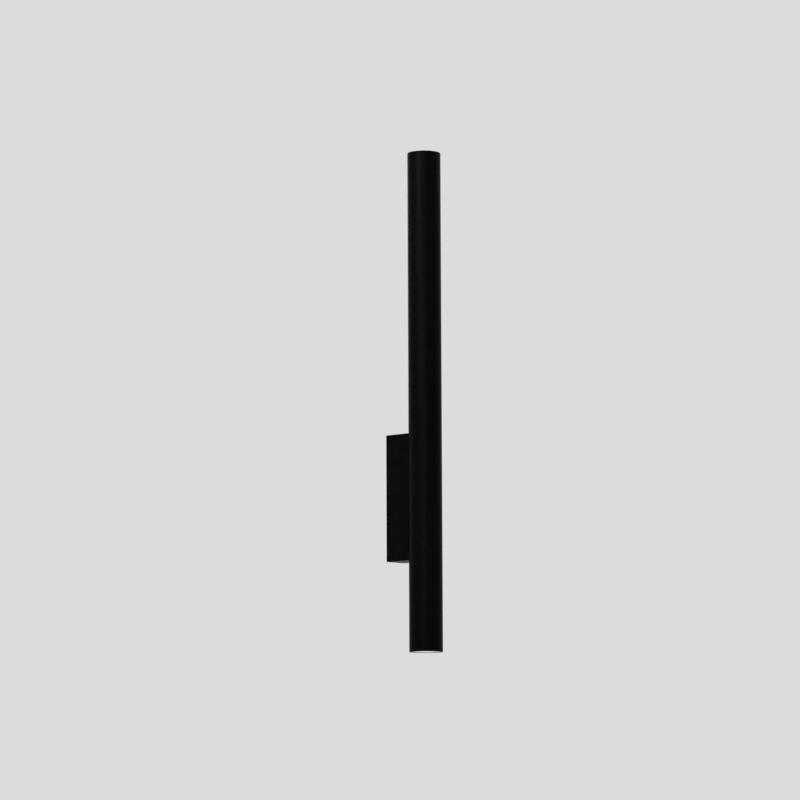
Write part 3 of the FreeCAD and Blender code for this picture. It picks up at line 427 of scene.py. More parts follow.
def pan_head(radius, height, shank):
    """The outline of a pan head from its seat up to the middle of its crown."""
    side = height * 0.45
    crown = [(radius * math.cos(t), side + height * 0.55 * math.sin(t)) for t in (0.35, 0.7, 1.05, 1.35)]
    return [(shank, 0), (radius * 0.96, 0), (radius, height * 0.06), (radius, side), *crown, (0, height)]


def chamfered(x, y, z, ease):
    """A block between its low and high values, with eased edges."""
    mesh = bmesh.new()
    bmesh.ops.create_cube(mesh, size=1)
    bmesh.ops.scale(mesh, vec=[high - low for low, high in (x, y, z)], verts=mesh.verts)
    bmesh.ops.translate(mesh, vec=[(low + high) / 2 for low, high in (x, y, z)], verts=mesh.verts)
    bmesh.ops.bevel(mesh, geom=mesh.edges[:], offset=ease, segments=2, profile=0.6, affect="EDGES")
    return mesh


def upright_rod(radius, x, z, foot, tip, ease=0.0, sides=40):
    """A round bar that stands out from the plate, with an eased rim at its tip."""
    height = foot - tip
    outline = [(0, 0), (radius, 0), (radius, height - ease), (radius - ease, height), (0, height)]
    return set_down(skin([ring(r, h, sides) for r, h in outline]), aim(x, foot, z, (0, -1, 0)))


nylon_values = {"Roughness": 0.42, "Subsurface Weight": 0.25, "Subsurface Scale": 0.001}
nylon = moulded("natural_nylon", nylon_tone, nylon_shade, nylon_values, fine=0.5, deep=0.008)
pole_bodies, pole_towers, pole_wells, fixing_holes = [], [], [], []
well_front_y = tower_front_y - run_past
for x in pole_places:
    sides, faces = (x - pole_half, x + pole_half), (block_front_y, plate_front_y)
    pole_bodies.append(chamfered(sides, faces, block_ends, block_ease))
    for z in clamp_heights:
        tower_foot_y = plate_front_y - tower_root
        pole_towers.append(upright_rod(tower_radius, x, z, tower_foot_y, tower_front_y, tower_ease))
        pole_wells.append(upright_rod(well_radius, x, z, pole_y, well_front_y))
    ends = [ring(pole_bore, reach, sides=40) for reach in (-bore_reach, bore_reach)]
    bore = skin([ring(0, -bore_reach), *ends, ring(0, bore_reach)])
    pole_wells.append(set_down(bore, aim(x, pole_y, fixing_z)))
for x in fixing_places:
    fixing_holes.append(upright_rod(fixing_radius + fixing_gap, x, fixing_z, 0, well_front_y))
web_faces = (block_front_y + face_step, plate_front_y - face_step)
pole_web = chamfered((-web_half, web_half), web_faces, web_ends, web_ease)
block_shape = cut(pole_web, *pole_bodies, *pole_towers, way="UNION")
block_shape = cut(block_shape, *pole_wells, *fixing_holes)
piece("three_pole_block", block_shape, "fixture", "nylon_white", [nylon], "terminal_block")
brass = rolled_metal("drawn_brass", brass_dark, brass_bright, along=(1, 1, 6), rough=(0.22, 0.38))
dress(brass, "terminal_tubes")

zinc_screw = rolled_metal("zinc_plated_screw", zinc_dull, zinc_bright, along=(3, 3, 3), rough=(0.22, 0.36))
clamp_shank = clamp_length - clamp_head_height
clamp_head = [
    (clamp_radius, 0),
    (clamp_head_radius, 0),
    (clamp_head_radius, clamp_head_height - clamp_rim),
    (clamp_head_radius - clamp_rim, clamp_head_height),
    (0, clamp_head_height),
]
clamp_shape = cut(
    threaded(clamp_radius, clamp_shank, small_pitch, clamp_head, sides=24),
    slot_tool(clamp_slot_width, clamp_slot_depth, clamp_head_radius + clamp_rim * 2, clamp_head_height),
)
clamp_places = []
for column, x in enumerate(pole_places):
    for row, z in enumerate(clamp_heights):
        turned = 25 + 47 * column + 80 * row
        clamp_places.append(aim(x, clamp_tips[row] - clamp_shank, z, (0, -1, 0), turned))
clamp_mesh = set_down(clamp_shape, *clamp_places)
piece("clamp_screws", clamp_mesh, "fixture", "zinc_steel", [zinc_screw], "terminal_screws")
fixing_head = pan_head(fixing_head_radius, fixing_head_height, fixing_radius)
fixing_shape = cut(
    threaded(fixing_radius, fixing_length, small_pitch, fixing_head, sides=24),
    cross_tool(fixing_cross_width, fixing_cross_depth, fixing_head_height),
)
fixing_turned = [aim(x, fixing_y, fixing_z, (0, -1, 0), 15 + 30 * (x > 0)) for x in fixing_places]
fixing_mesh = set_down(fixing_shape, *fixing_turned)
piece("block_fixing_screws", fixing_mesh, "fixture", "zinc_steel", [zinc_screw], "terminal_block_screws")

# ------------------------------------------------------------------ earth connection
# A brass earth screw in the wall plate's collar and ring terminals crimped on two green and yellow
# leads: one joins the plate, the other the lamp body, under toothed washers.
earth_x, earth_z, earth_seat_y = -8.8, 34.0, -5.1
green_tone, yellow_tone, bare_tone = (0.035, 0.22, 0.03, 1), (0.72, 0.58, 0.04, 1), (0.66, 0.60, 0.52, 1)
m4_radius, m4_pitch, m4_head_radius, m4_head_height = 1.95, 0.7, 4.0, 2.6
m4_cross_width, m4_cross_depth, earth_screw_length = 4.4, 1.5, 5.0
tin_dark, tin_bright = (0.48, 0.47, 0.45, 1), (0.70, 0.69, 0.66, 1)
block_top, stripe_from = block_ends[1], 0.35


def past(tree, axis, limit, beyond=True):
    """1 where a point lies beyond a limit along an axis, or short of it, in millimetres."""
    at = add(tree, "SeparateXYZ", {0: add(tree, "TexCoord").outputs["Object"]}).outputs[axis]
    way = "GREATER_THAN" if beyond else "LESS_THAN"
    return add(tree, "Math", {0: at, 1: limit / 1000}, operation=way).outputs[0]


m4_head = pan_head(m4_head_radius, m4_head_height, m4_radius)
earth_screw_shape = cut(
    threaded(m4_radius, earth_screw_length, m4_pitch, m4_head),
    cross_tool(m4_cross_width, m4_cross_depth, m4_head_height),
)
earth_screw_place = aim(earth_x, earth_seat_y, earth_z, (0, -1, 0), turn=38)
earth_screw_mesh = set_down(earth_screw_shape, earth_screw_place)
piece("earth_screw_threaded", earth_screw_mesh, "fixture", "brass", [brass], "earth_screw")
tin = rolled_metal("tinned_copper", tin_dark, tin_bright, along=(1, 4, 1), rough=(0.28, 0.42))
dress(tin, "earth_terminals")
dress(zinc_screw, "lock_washers")

earth_finish, tree, shader = surface("green_and_yellow_lead", {"Roughness": 0.48})
side = add(tree, "SeparateXYZ", {0: add(tree, "NewGeometry").outputs["Normal"]}).outputs["X"]
stripe = add(tree, "Math", {0: side, 1: stripe_from}, operation="GREATER_THAN").outputs[0]
coat_tone = blend_tones(tree, stripe, green_tone, yellow_tone)
bare = past(tree, "Z", block_top, beyond=False)
tree.links.new(blend_tones(tree, bare, coat_tone, bare_tone), shader.inputs["Base Color"])
tree.links.new(bare, shader.inputs["Metallic"])
tree.links.new(relief(tree, grain(tree, 0.4), 0.01), shader.inputs["Normal"])
dress(earth_finish, "earth_leads")

# ------------------------------------------------------------------ carrier strip
# The steel strip down the back of the bore. Its bent ends carry the lampholders, rivet nuts in it
# take the two tube screws, and the leads are tied to it.
strip_steel = rolled_metal("zinc_plated_strip", zinc_dull, zinc_bright, along=(1, 1, 20), rough=(0.28, 0.44))
dress(strip_steel, "carrier_strip", "carrier_nuts")

# ------------------------------------------------------------------ lampholders
# Unglazed steatite base and cover, pressed and fired, with two brass contact springs inside and
# two long countersunk screws down through both into the strip's shelf.
steatite_tone, steatite_shade = (0.74, 0.715, 0.64, 1), (0.67, 0.635, 0.55, 1)
speck_tone = (0.36, 0.31, 0.24, 1)
holder_face = {"top": 368.4, "bottom": -138.4}
holder_screw_spread, holder_screw_length = 11.0165, 17.5
m3_radius, m3_head_radius, m3_pitch, m3_cross_width, m3_cross_depth = 1.45, 2.75, 0.5, 3.0, 1.15
tube_axis_y = -50.0


def countersunk(length):
    """A flush M3 screw with its flat head at z = 0."""
    cone = m3_head_radius - m3_radius
    rim = [(m3_head_radius - 0.05, cone - 0.08), (m3_head_radius, cone - 0.04)]
    head = [(m3_radius, 0), *rim, (m3_head_radius - 0.04, cone), (0, cone)]
    blank = threaded(m3_radius, length - cone, m3_pitch, head)
    shape = cut(blank, cross_tool(m3_cross_width, m3_cross_depth, cone))
    bmesh.ops.translate(shape, vec=(0, 0, -cone), verts=shape.verts)
    return shape


def at_end(end):
    """From a shape drawn with the lampholder's face on z = 0 to its place in the tube."""
    upright = Matrix.Translation((0, tube_axis_y, holder_face[end]))
    return upright if end == "top" else upright @ Matrix.Rotation(math.pi, 4, "X")


steatite_values = {"Roughness": 0.5, "Subsurface Weight": 0.15, "Subsurface Scale": 0.0015}
steatite, tree, shader = surface("steatite", steatite_values)
fired = ramp(tree, grain(tree, 4.0, detail=6.0), (0.35, steatite_tone), (0.72, steatite_shade))
specks = ramp(tree, grain(tree, 0.5, detail=1.0), (0.70, 0.0), (0.78, 0.7))
tree.links.new(blend_tones(tree, specks, fired, speck_tone), shader.inputs["Base Color"])
tree.links.new(relief(tree, grain(tree, 0.3), 0.02, eased(tree, 0.4)), shader.inputs["Normal"])
for end in ("top", "bottom"):
    dress(steatite, f"holder_base_{end}", f"holder_cover_{end}")
    dress(brass, f"holder_contacts_{end}")
    screw_places = []
    for side in (-1, 1):
        screw_places.append(at_end(end) @ aim(0, side * holder_screw_spread, 0, turn=40 * side))
    holder_screws = set_down(countersunk(holder_screw_length), *screw_places)
    node = f"holder_screws_{end}"
    piece(f"long_screws_{end}", holder_screws, "fixture", "zinc_steel", [zinc_screw], node)

# ------------------------------------------------------------------ leads and cable ties
# Silicone-insulated stranded leads, brown to the live contact and blue to the other, bare at their
# ends. Nylon ties pulled tight through slots hold each pair to the strip.
brown_tone, blue_tone = (0.085, 0.032, 0.014, 1), (0.018, 0.075, 0.32, 1)
upper_bare_from, lower_bare_from, tube_back_y = 356.8, -126.8, -30.0
tie_heights = (318.4, 263.8, 209.2, 154.6, 100.0, -87.2)
tie_sides, tie_back, tie_front = 2.6, -32.5335, -36.8835
tie_thickness, tie_width, tie_head, tie_head_depth, tie_tail = 0.8, 2.5, 4.4, 2.6, 1.5
tie_corner, tie_ease, tie_head_ease, rung_step, rung_height = 1.0, 0.15, 0.35, 0.35, 0.12
tie_slot_faces, tail_faces, tail_rung_faces = (1.95, 0.85), (1.8, 1.15), (1.9, 1.7)
tail_rungs, tail_rung_pitch, tail_rung_length, tail_margin = 9, 0.58, 0.3, 0.3
for colour, tone in (("live", brown_tone), ("neutral", blue_tone)):
    pale = tuple(c * 1.35 for c in tone[:3]) + (1,)
    insulation, tree, shader = surface(f"{colour}_lead", {"Roughness": 0.5})
    fresh = ramp(tree, grain(tree, 3.0), (0.3, tone), (0.8, pale))
    in_holder = {0: past(tree, "Z", upper_bare_from), 1: past(tree, "Z", lower_bare_from, beyond=False)}
    in_block = {0: past(tree, "Z", block_top, beyond=False), 1: past(tree, "Y", tube_back_y)}
    in_holder = add(tree, "Math", in_holder, operation="MAXIMUM").outputs[0]
    in_block = add(tree, "Math", in_block, operation="MULTIPLY").outputs[0]
    bare = add(tree, "Math", {0: in_holder, 1: in_block}, operation="MAXIMUM").outputs[0]
    tree.links.new(blend_tones(tree, bare, fresh, bare_tone), shader.inputs["Base Color"])
    tree.links.new(bare, shader.inputs["Metallic"])
    tree.links.new(relief(tree, grain(tree, 0.3), 0.008), shader.inputs["Normal"])
    dress(insulation, f"{colour}_lead_top", f"{colour}_lead_bottom")


def gathered(*meshes):
    """Several meshes as one."""
    together = bmesh.new()
    for mesh in meshes:
        bmesh.ops.recalc_face_normals(mesh, faces=mesh.faces)
        data = bpy.data.meshes.new("shape")
        mesh.to_mesh(data)
        mesh.free()
        together.from_mesh(data)
        bpy.data.meshes.remove(data)
    return together


def cable_tie():
    """One tie about z = 0: a tight band with rungs inside, its head with a slot, and the cut tail."""
    corners = [(tie_sides, tie_front), (tie_sides, tie_back)]
    corners += [(-tie_sides, tie_back), (-tie_sides, tie_front)]
    middle = [Vector(point) for point in rounded(corners, tie_corner, steps=6)]
    path = []
    for i, point in enumerate(middle):
        after = middle[(i + 1) % len(middle)]
        steps = max(1, round((after - point).length / rung_step))
        path += [point.lerp(after, k / steps) for k in range(steps)]
    low, high, outer = -tie_width / 2, tie_width / 2, tie_thickness / 2
    rings = []
    for i, point in enumerate(path):
        along = (path[(i + 1) % len(path)] - path[i - 1]).normalized()
        out = Vector((along.y, -along.x))
        inner = -outer + (rung_height if i % 2 else 0.0)
        section = rounded([(inner, low), (outer, low), (outer, high), (inner, high)], tie_ease, steps=2)
        rings.append([(point.x + out.x * a, point.y + out.y * a, b) for a, b in section])
    band = skin(rings, closed=True)
    front, half = tie_front - outer, tie_head / 2
    head_faces = (front - tie_head_depth, front + 0.1)
    head = chamfered((-half, half), head_faces, (-half, half), tie_head_ease)
    way_faces = [front - depth for depth in tie_slot_faces]
    way = chamfered((-half - 1, half + 1), way_faces, (low - 0.1, high + 0.1), ease=0.1)
    head = cut(head, way)
    run_faces = [front - depth for depth in tail_faces]
    tail = [chamfered((-half + tail_margin, half + tie_tail), run_faces, (low, high), ease=0.12)]
    rung_faces = [front - depth for depth in tail_rung_faces]
    for k in range(tail_rungs):
        x = -half + 2 * tail_margin + tail_rung_pitch * k
        across = (low + tail_margin, high - tail_margin)
        tail.append(chamfered((x, x + tail_rung_length), rung_faces, across, ease=0.05))
    return gathered(band, head, *tail)


tie_places = [aim(0, 0, z) for z in tie_heights]
piece("nylon_ties", set_down(cable_tie(), *tie_places), "fixture", "nylon_white", [nylon], "cable_ties")

# ------------------------------------------------------------------ tube
# Extruded aluminium tube 40 mm across with broken edges, powder coated black inside and out. Its
# back has holes for two screws and the leads, which the wall box hides.
tube_radius, tube_bore = 20.0, 18.5
tube_low, tube_high = -185.0, 415.0
tube_edge, bore_edge = 0.4, 0.15
tube_screw_heights, tube_screw_hole, bush_height, bush_hole = (-50.0, 50.0), 2.2, 31.0, 5.0
hole_band, drill_from, drill_to = 6.0, 10.0, 25.0
coat_black, coat_soft, coat_thin_and_highlight, dust_tone = (
    (0.0006, 0.0006, 0.0007, 1),
    (0.0016, 0.0016, 0.0017, 1),
    (0.009, 0.009, 0.0095, 1),
    (0.012, 0.0113, 0.0102, 1),
)


def powder_coat(name):
    """Satin black powder coat: orange peel, paler edges (a thinner coat and a painted highlight), dust where
    it faces up.
    """
    material, tree, shader = surface(name, {"Specular IOR Level": 0.028})
    depth = ramp(tree, grain(tree, 9.0, detail=5.0), (0.3, coat_black), (0.7, coat_soft))
    # The edges are painted paler: partly a thinner coat, partly a painted highlight along the rims.
    tone = blend_tones(tree, edges(tree, 0.3), depth, coat_thin_and_highlight)
    up = add(tree, "SeparateXYZ", {0: add(tree, "NewGeometry").outputs["Normal"]}).outputs["Z"]
    settled = ramp(tree, up, (0.70, 0.0), (0.97, 1.0))
    patchy = ramp(tree, grain(tree, 1.6, detail=6.0), (0.42, 0.0), (0.75, 0.55))
    dust = add(tree, "Math", {0: settled, 1: patchy}, operation="MULTIPLY").outputs[0]
    tree.links.new(blend_tones(tree, dust, tone, dust_tone), shader.inputs["Base Color"])
    peel = grain(tree, 0.7, detail=1.5)
    tree.links.new(ramp(tree, grain(tree, 0.35), (0.2, 0.35), (0.8, 0.46)), shader.inputs["Roughness"])
    peel_relief = relief(tree, peel, 0.03)
    fine_relief = relief(tree, grain(tree, 0.22, detail=1.0), 0.012, peel_relief)
    tree.links.new(fine_relief, shader.inputs["Normal"])
    return material


def arc(middle_r, middle_z, radius, start, end, steps=6):
    """Points of an outline round a corner, between two angles in degrees."""
    angles = [math.radians(start + (end - start) * k / steps) for k in range(steps + 1)]
    return [(middle_r + radius * math.cos(a), middle_z + radius * math.sin(a)) for a in angles]


tube_outline = [(tube_bore, tube_low + bore_edge), (tube_bore + bore_edge, tube_low)]
tube_outline += arc(tube_radius - tube_edge, tube_low + tube_edge, tube_edge, -90, 0)
holes_at = (*tube_screw_heights, bush_height)
hole_bands = [z + reach for z in holes_at for reach in (-hole_band, hole_band)]
tube_outline += [(tube_radius, z) for z in sorted(hole_bands)]
tube_outline += arc(tube_radius - tube_edge, tube_high - tube_edge, tube_edge, 0, 90)
tube_outline += [(tube_bore + bore_edge, tube_high), (tube_bore, tube_high - bore_edge)]
tube_outline += [(tube_bore, z) for z in sorted(hole_bands, reverse=True)]
tube_shape = skin([ring(r, z, sides=192) for r, z in tube_outline], closed=True)


def drill(radius, z):
    """A round cutter through the tube's back, drawn about the tube's centre line."""
    ends = [ring(radius, reach, sides=48) for reach in (drill_from, drill_to)]
    bar = skin([ring(0, drill_from), *ends, ring(0, drill_to)])
    return set_down(bar, aim(0, 0, z, (0, 1, 0)))


drills = [drill(tube_screw_hole, z) for z in tube_screw_heights] + [drill(bush_hole, bush_height)]
tube_shape = cut(tube_shape, *drills)
black_coat = powder_coat("black_powder_coat")
tube_mesh = set_down(tube_shape, Matrix.Translation((0, tube_axis_y, 0)))
piece("tube_shell", tube_mesh, "fixture", "black_coat", [black_coat], "tube")

# ------------------------------------------------------------------ wall box
# The narrow box between tube and wall, welded from 1.5 mm sheet, ground and powder coated with the
# tube. Its front is rolled to the tube's curve, and its back stays open over the wall plate.
dress(black_coat, "wall_box")

# ------------------------------------------------------------------ tube screws, washers and lead bush
# From inside the box, two pan head screws pull the tube into its seat, with curved washers under
# them. A black nylon bush lines the hole that the leads take through box, tube and strip.
tube_screw_seat_y, tube_screw_length, ring_thickness = -26.4, 12.0, 0.8
black_nylon_tone, black_nylon_shade = (0.012, 0.012, 0.013, 1), (0.02, 0.02, 0.021, 1)
tube_screw_shape = cut(
    threaded(m4_radius, tube_screw_length, m4_pitch, m4_head),
    cross_tool(m4_cross_width, m4_cross_depth, m4_head_height),
)
lower_z, upper_z = tube_screw_heights
tube_screw_places = [
    aim(0, tube_screw_seat_y, lower_z, (0, 1, 0), turn=12),
    aim(0, tube_screw_seat_y + ring_thickness, upper_z, (0, 1, 0), turn=61),
]
tube_screw_mesh = set_down(tube_screw_shape, *tube_screw_places)
piece("tube_screws_threaded", tube_screw_mesh, "fixture", "zinc_steel", [zinc_screw], "tube_screws")
dress(zinc_screw, "saddle_washers")
nylon_look = {"Roughness": 0.4}
black_nylon = moulded("black_nylon", black_nylon_tone, black_nylon_shade, nylon_look, fine=0.4, deep=0.006)
dress(black_nylon, "lead_bush")

# ------------------------------------------------------------------ box screws
# One flush countersunk screw in each end of the box, black plated, into the wall plate's tabs.
# They are the last to go in, and their crosses show a little bare steel from the driver.
box_screw_y, box_half_height, box_screw_length = -12.0, 76.0, 8.0
plating_dark, plating_pale = (0.005, 0.005, 0.0055, 1), (0.013, 0.013, 0.014, 1)
steel_tone = (0.10, 0.097, 0.094, 1)
plating, tree, shader = surface("black_plated_steel", {"Metallic": 0.35, "Specular IOR Level": 0.16})
plate_tone = ramp(tree, grain(tree, 1.2, detail=4.0), (0.3, plating_dark), (0.75, plating_pale))
bared_tone = blend_tones(tree, edges(tree, 0.2), plate_tone, steel_tone)
tree.links.new(bared_tone, shader.inputs["Base Color"])
tree.links.new(ramp(tree, grain(tree, 0.4), (0.2, 0.30), (0.8, 0.45)), shader.inputs["Roughness"])
tree.links.new(relief(tree, grain(tree, 0.3), 0.006), shader.inputs["Normal"])
box_screw_places = [
    aim(0, box_screw_y, box_half_height, (0, 0, 1), turn=20),
    aim(0, box_screw_y, -box_half_height, (0, 0, -1), turn=52),
]
box_screw_mesh = set_down(countersunk(box_screw_length), *box_screw_places)
piece("box_screws_countersunk", box_screw_mesh, "fixture", "black_screw", [plating], "box_screws")

# ------------------------------------------------------------------ lamp caps, pins and housings
# The body of the twist-lock reflector lamp in each end: a cap moulded in heat-proof plastic, the two
# brass pins that lock it in its holder, and a die-cast heat sink with fins, coated white.
cap_tone, cap_shade = (0.70, 0.69, 0.66, 1), (0.62, 0.60, 0.56, 1)
shell_tone, shell_shade, shell_worn = (0.74, 0.735, 0.72, 1), (0.68, 0.67, 0.65, 1), (0.55, 0.54, 0.52, 1)
cap_plastic = moulded("lamp_cap", cap_tone, cap_shade, {"Roughness": 0.45}, fine=0.4, deep=0.008)
shell_coat, tree, shader = surface("white_lamp_coat", {"Specular IOR Level": 0.45})
cast = ramp(tree, grain(tree, 6.0, detail=4.0), (0.3, shell_tone), (0.7, shell_shade))
tree.links.new(blend_tones(tree, edges(tree, 0.2), cast, shell_worn), shader.inputs["Base Color"])
tree.links.new(ramp(tree, grain(tree, 0.4), (0.2, 0.40), (0.8, 0.54)), shader.inputs["Roughness"])
tree.links.new(relief(tree, grain(tree, 0.6, detail=1.5), 0.02), shader.inputs["Normal"])
for end in ("top", "bottom"):
    dress(cap_plastic, f"lamp_cap_{end}")
    dress(brass, f"lamp_pins_{end}")
    dress(shell_coat, f"lamp_housing_{end}")

# ------------------------------------------------------------------ drivers
# The lamp's power supply: a green circuit board that stands on the cap inside the housing, with a
# black can, a coil wound with enamelled copper, and small parts soldered to both faces.
board_half, board_face, board_foot, board_top = 6.5, 0.6, 12.0, 35.0
can_radius, can_foot, can_top, can_groove, can_y = 3.2, 18.5, 28.5, 20.1, 3.8
vent_half, vent_width, vent_depth = 2.2, 0.12, 0.2
flange_half, flange_faces, flange_heights = 2.5, (-5.6, -0.6), ((18.5, 19.5), (25.5, 26.5))
coil_radius, coil_wave, coil_foot, coil_top, coil_step, coil_y = 2.1, 0.13, 19.3, 25.9, 0.2, -3.1
# Each small part on the board: its middle across and up, its width and height, and its side.
small_parts = (
    (-3.2, 31.0, 3.4, 2.6, 1),
    (3.4, 32.2, 2.0, 1.2, 1),
    (4.6, 16.0, 2.0, 1.2, 1),
    (-4.4, 15.2, 1.6, 2.6, -1),
    (3.8, 30.6, 3.6, 2.4, -1),
    (-3.9, 30.4, 2.0, 1.2, -1),
)
small_from, small_to, small_foot, small_ease = 0.55, 1.5, 0.95, 0.12
end_out, end_in, end_ease = 0.35, 0.2, 0.08
pin_radius, pin_low, pin_high, pin_x, pin_y = 0.35, 11.9, 15.0, 5.0, -0.75
black_tone, black_shade = (0.014, 0.014, 0.016, 1), (0.026, 0.026, 0.028, 1)
copper_dark, copper_bright = (0.42, 0.14, 0.05, 1), (0.62, 0.26, 0.12, 1)
green_board_tone, green_board_shade = (0.012, 0.085, 0.03, 1), (0.02, 0.12, 0.04, 1)


def spun(radius, low, high, groove=None, sides=48):
    """A round part about Z with eased rims and, where it has one, a rolled groove."""
    outline = [(0, low), (radius - 0.25, low), (radius - 0.05, low + 0.06), (radius, low + 0.3)]
    if groove:
        outline += [(radius, groove - 0.35), (radius - 0.3, groove), (radius, groove + 0.35)]
    outline += [(radius, high - 0.3), (radius - 0.05, high - 0.06), (radius - 0.25, high), (0, high)]
    return skin([ring(r, z, sides) for r, z in outline])


def painted(mesh, index, test=None):
    """Gives the mesh's faces one of the piece's materials, where their middles pass the test."""
    for face in mesh.faces:
        if test is None or test(face.calc_center_median()):
            face.material_index = index
    return mesh


def driver():
    """The driver: a green board that stands on the cap, with a can, a wound coil and small parts."""
    board_sides, board_faces = (-board_half, board_half), (-board_face, board_face)
    board = chamfered(board_sides, board_faces, (board_foot, board_top), ease=0.15)
    vent_long, vent_across = (-vent_half, vent_half), (-vent_width, vent_width)
    vent_heights = (can_top - vent_depth, can_top + 0.5)
    vents = [chamfered(vent_long, vent_across, vent_heights, ease=0.05)]
    vents.append(chamfered(vent_across, vent_long, vent_heights, ease=0.05))
    can = cut(spun(can_radius, can_foot, can_top, groove=can_groove), *vents)
    can = painted(painted(can, 1), 2, lambda middle: middle.z > can_top - 0.3)
    bmesh.ops.translate(can, vec=(0, can_y, 0), verts=can.verts)
    flange_sides = (-flange_half, flange_half)
    flanges = [chamfered(flange_sides, flange_faces, z, ease=0.3) for z in flange_heights]
    turns = round((coil_top - coil_foot) / coil_step)
    wound = [(coil_radius + coil_wave * (k % 2), coil_foot + coil_step * k) for k in range(turns)]
    wound = [(0, coil_foot), *wound, (0, coil_top)]
    coil = painted(skin([ring(r, z, sides=32) for r, z in wound]), 3)
    bmesh.ops.translate(coil, vec=(0, coil_y, 0), verts=coil.verts)
    parts = [painted(board, 0), can, *(painted(flange, 1) for flange in flanges), coil]
    for x, z, wide, tall, side in small_parts:
        left, right = x - wide / 2, x + wide / 2
        faces = sorted((side * small_from, side * small_to))
        foot = sorted((side * small_from, side * small_foot))
        lengths = (z - tall / 2, z + tall / 2)
        parts.append(painted(chamfered((left, right), faces, lengths, small_ease), 1))
        for end_sides in ((left - end_out, left + end_in), (right - end_in, right + end_out)):
            solder = chamfered(end_sides, foot, (z - tall / 3, z + tall / 3), end_ease)
            parts.append(painted(solder, 2))
    for x in (-pin_x, pin_x):
        parts.append(painted(spun(pin_radius, pin_low, pin_high, sides=16), 2))
        bmesh.ops.translate(parts[-1], vec=(x, pin_y, 0), verts=parts[-1].verts)
    return gathered(*parts)


part_black = moulded("part_black", black_tone, black_shade, {"Roughness": 0.42}, fine=0.2, deep=0.006)
copper = rolled_metal("enamelled_copper", copper_dark, copper_bright, along=(3, 3, 1), rough=(0.2, 0.32))
green_look = {"Roughness": 0.35}
board_green = moulded("green_board", green_board_tone, green_board_shade, green_look, fine=0.3, deep=0.006)
for end in ("top", "bottom"):
    driver_mesh = set_down(driver(), at_end(end))
    looks = [board_green, part_black, tin, copper]
    piece(f"driver_{end}", driver_mesh, f"lamp_{end}", "driver", looks, f"lamp_driver_{end}")

# ------------------------------------------------------------------ boards and chips
# A white-masked aluminium board across the housing carries seven light-emitting chips, one in the
# middle and six round it. Each is a white frame filled with yellow phosphor in silicone.
led_ring_radius, led_count, led_half, led_height, led_foot, led_ease = 8.0, 6, 1.5, 0.6, 40.6, 0.12
window_half, window_depth, window_ease, phosphor_gap, phosphor_drop = 1.15, 0.2, 0.25, 0.01, 0.05
mask_tone, mask_shade = (0.78, 0.78, 0.76, 1), (0.72, 0.72, 0.70, 1)
phosphor_tone, phosphor_shade = (0.75, 0.56, 0.10, 1), (0.80, 0.64, 0.16, 1)
frame_tone, frame_shade = (0.80, 0.80, 0.78, 1), (0.74, 0.74, 0.72, 1)
chip_angles = [2 * math.pi * i / led_count for i in range(led_count)]
chip_centres = [(0, 0)]
chip_centres += [(led_ring_radius * math.cos(a), led_ring_radius * math.sin(a)) for a in chip_angles]


def chip():
    """One chip on z = 0: a white frame, with phosphor in silicone filling its window."""
    outside, within = (-led_half, led_half), (-window_half, window_half)
    sill = led_height - window_depth
    frame_block = chamfered(outside, outside, (0, led_height), led_ease)
    window = chamfered(within, within, (sill, led_height + 0.5), window_ease)
    shape = cut(frame_block, window)
    fill_side, fill_foot = window_half - phosphor_gap, sill - 2 * phosphor_gap
    fill_sides = (-fill_side, fill_side)
    filled = chamfered(fill_sides, fill_sides, (fill_foot, led_height - phosphor_drop), ease=0.06)
    for face in filled.faces:
        face.material_index = 1
    return gathered(shape, filled)


phosphor = moulded("phosphor", phosphor_tone, phosphor_shade, {"Roughness": 0.35}, fine=0.1, deep=0.004)
chip_frame = moulded("chip_frame", frame_tone, frame_shade, {"Roughness": 0.4}, fine=0.1, deep=0.003)
board_mask = moulded("white_board", mask_tone, mask_shade, {"Roughness": 0.3}, fine=0.4, deep=0.004)
for end in ("top", "bottom"):
    dress(board_mask, f"lamp_led_board_{end}")
    chip_places = [at_end(end) @ aim(x, y, led_foot) for x, y in chip_centres]
    chips = set_down(chip(), *chip_places)
    looks = [chip_frame, phosphor]
    piece(f"chips_{end}", chips, f"lamp_{end}", "led", looks, f"lamp_leds_{end}")

# ------------------------------------------------------------------ lenses
# The frosted lens over the chips, moulded and snapped on the housing's rim, and lit from behind.
# It lies almost flush with the tube's end, so its edge is what the photograph shows of the lamp.
lens_radius, lens_face, lens_edge, lens_skirt_depth = 18.0, 46.3, 0.7, 5.0
lens_under, lens_bore, lens_step_z, lens_skirt_bore, lens_skirt_ease = 44.5, 15.7, 43.3, 17.0, 0.1
rim_inside, step_foot, step_depth, dome_reach, dome_gap, dome_fall = 16.2, 15.95, 0.25, 15.75, 0.02, 0.23
glow_spread, glow_even, glow_spot = 13.0, 0.45, 0.52
rim_tone, lit_tone = (0.60, 0.60, 0.585, 1), (0.25, 0.25, 0.245, 1)
frost_dark, frost_pale = (0.22, 0.22, 0.215, 1), (0.28, 0.28, 0.275, 1)
rim_glow, mid_glow, spot_glow = (0.10, 0.098, 0.092, 1), (0.26, 0.254, 0.238, 1), (0.56, 0.545, 0.50, 1)


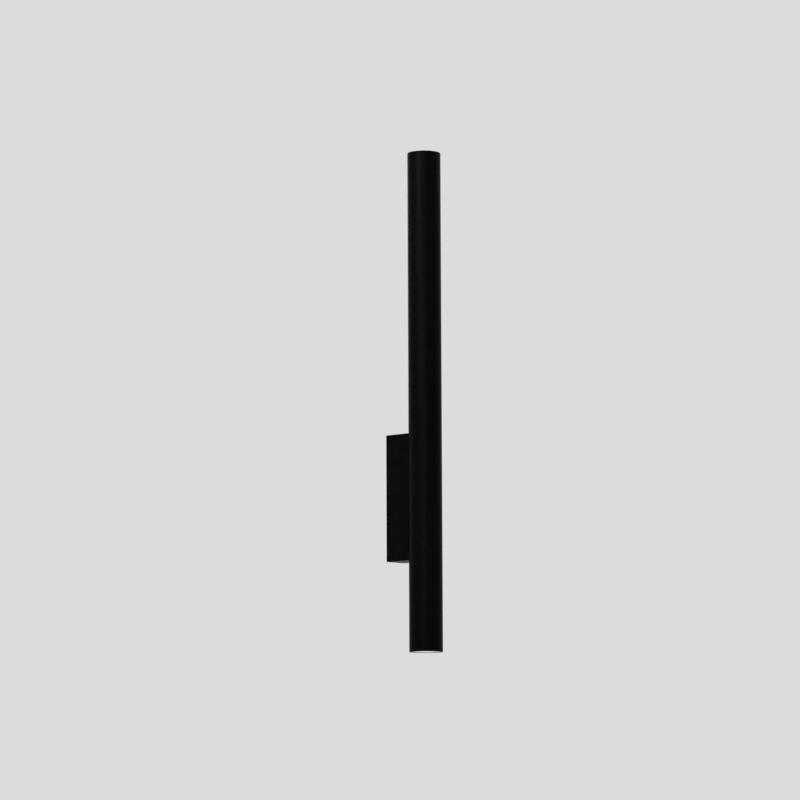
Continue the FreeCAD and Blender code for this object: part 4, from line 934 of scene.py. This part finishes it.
def lens_shape():
    """The lens: a flat rim, a shallow step, and a barely domed face over many fine rings."""
    foot, crown = lens_face - lens_skirt_depth, lens_face - dome_gap
    outline = [(0, lens_under), (lens_bore, lens_under), (lens_bore, lens_step_z)]
    outline += [(lens_skirt_bore, lens_step_z), (lens_skirt_bore, foot)]
    outline += [(lens_radius - lens_skirt_ease, foot), (lens_radius, foot + lens_skirt_ease)]
    outline += arc(lens_radius - lens_edge, lens_face - lens_edge, lens_edge, 0, 90)
    outline += [(rim_inside, lens_face), (step_foot, lens_face - step_depth)]
    radii = [half_steps / 2 for half_steps in range(int(dome_reach * 2), 0, -1)]
    outline += [(r, crown - dome_fall * (r / dome_reach) ** 2) for r in radii]
    outline += [(0, crown)]
    return skin([ring(r, z, sides=144) for r, z in outline])


def light_the_lens(made):
    """Writes how brightly each point of the lens glows, from the chips that lie behind it."""
    shine = made.data.attributes.new("light", "FLOAT", "POINT")
    for vertex, value in zip(made.data.vertices, shine.data):
        x, y = vertex.co.x * 1000, vertex.co.y * 1000 - tube_axis_y
        squares = [(x - cx) ** 2 + (y - cy) ** 2 for cx, cy in chip_centres]
        spots = sum(math.exp(-square / glow_spread) for square in squares)
        inside = max(0.0, 1 - (math.hypot(x, y) / lens_radius) ** 4)
        value.value = min(1.0, glow_even * inside + glow_spot * spots)


frosted_values = {"Roughness": 0.5, "Specular IOR Level": 0.4, "Emission Strength": 1.0}
frosted, tree, shader = surface("frosted_lens", frosted_values)
light = add(tree, "Attribute", attribute_name="light").outputs["Fac"]
frost = grain(tree, 0.5, detail=2.0)
lit = ramp(tree, light, (0.0, rim_tone), (0.12, lit_tone))
cloudy = ramp(tree, frost, (0.3, frost_dark), (0.7, frost_pale))
tree.links.new(blend_tones(tree, 0.35, lit, cloudy), shader.inputs["Base Color"])
shining = ramp(tree, light, (0.0, rim_glow), (0.5, mid_glow), (1.0, spot_glow))
tree.links.new(shining, shader.inputs["Emission Color"])
tree.links.new(relief(tree, frost, 0.02), shader.inputs["Normal"])
for end in ("top", "bottom"):
    lens_mesh = set_down(lens_shape(), at_end(end))
    node = f"lamp_lens_{end}"
    lens = piece(f"lens_{end}", lens_mesh, f"lamp_{end}", "lens", [frosted], node, sharp=40)
    light_the_lens(lens)
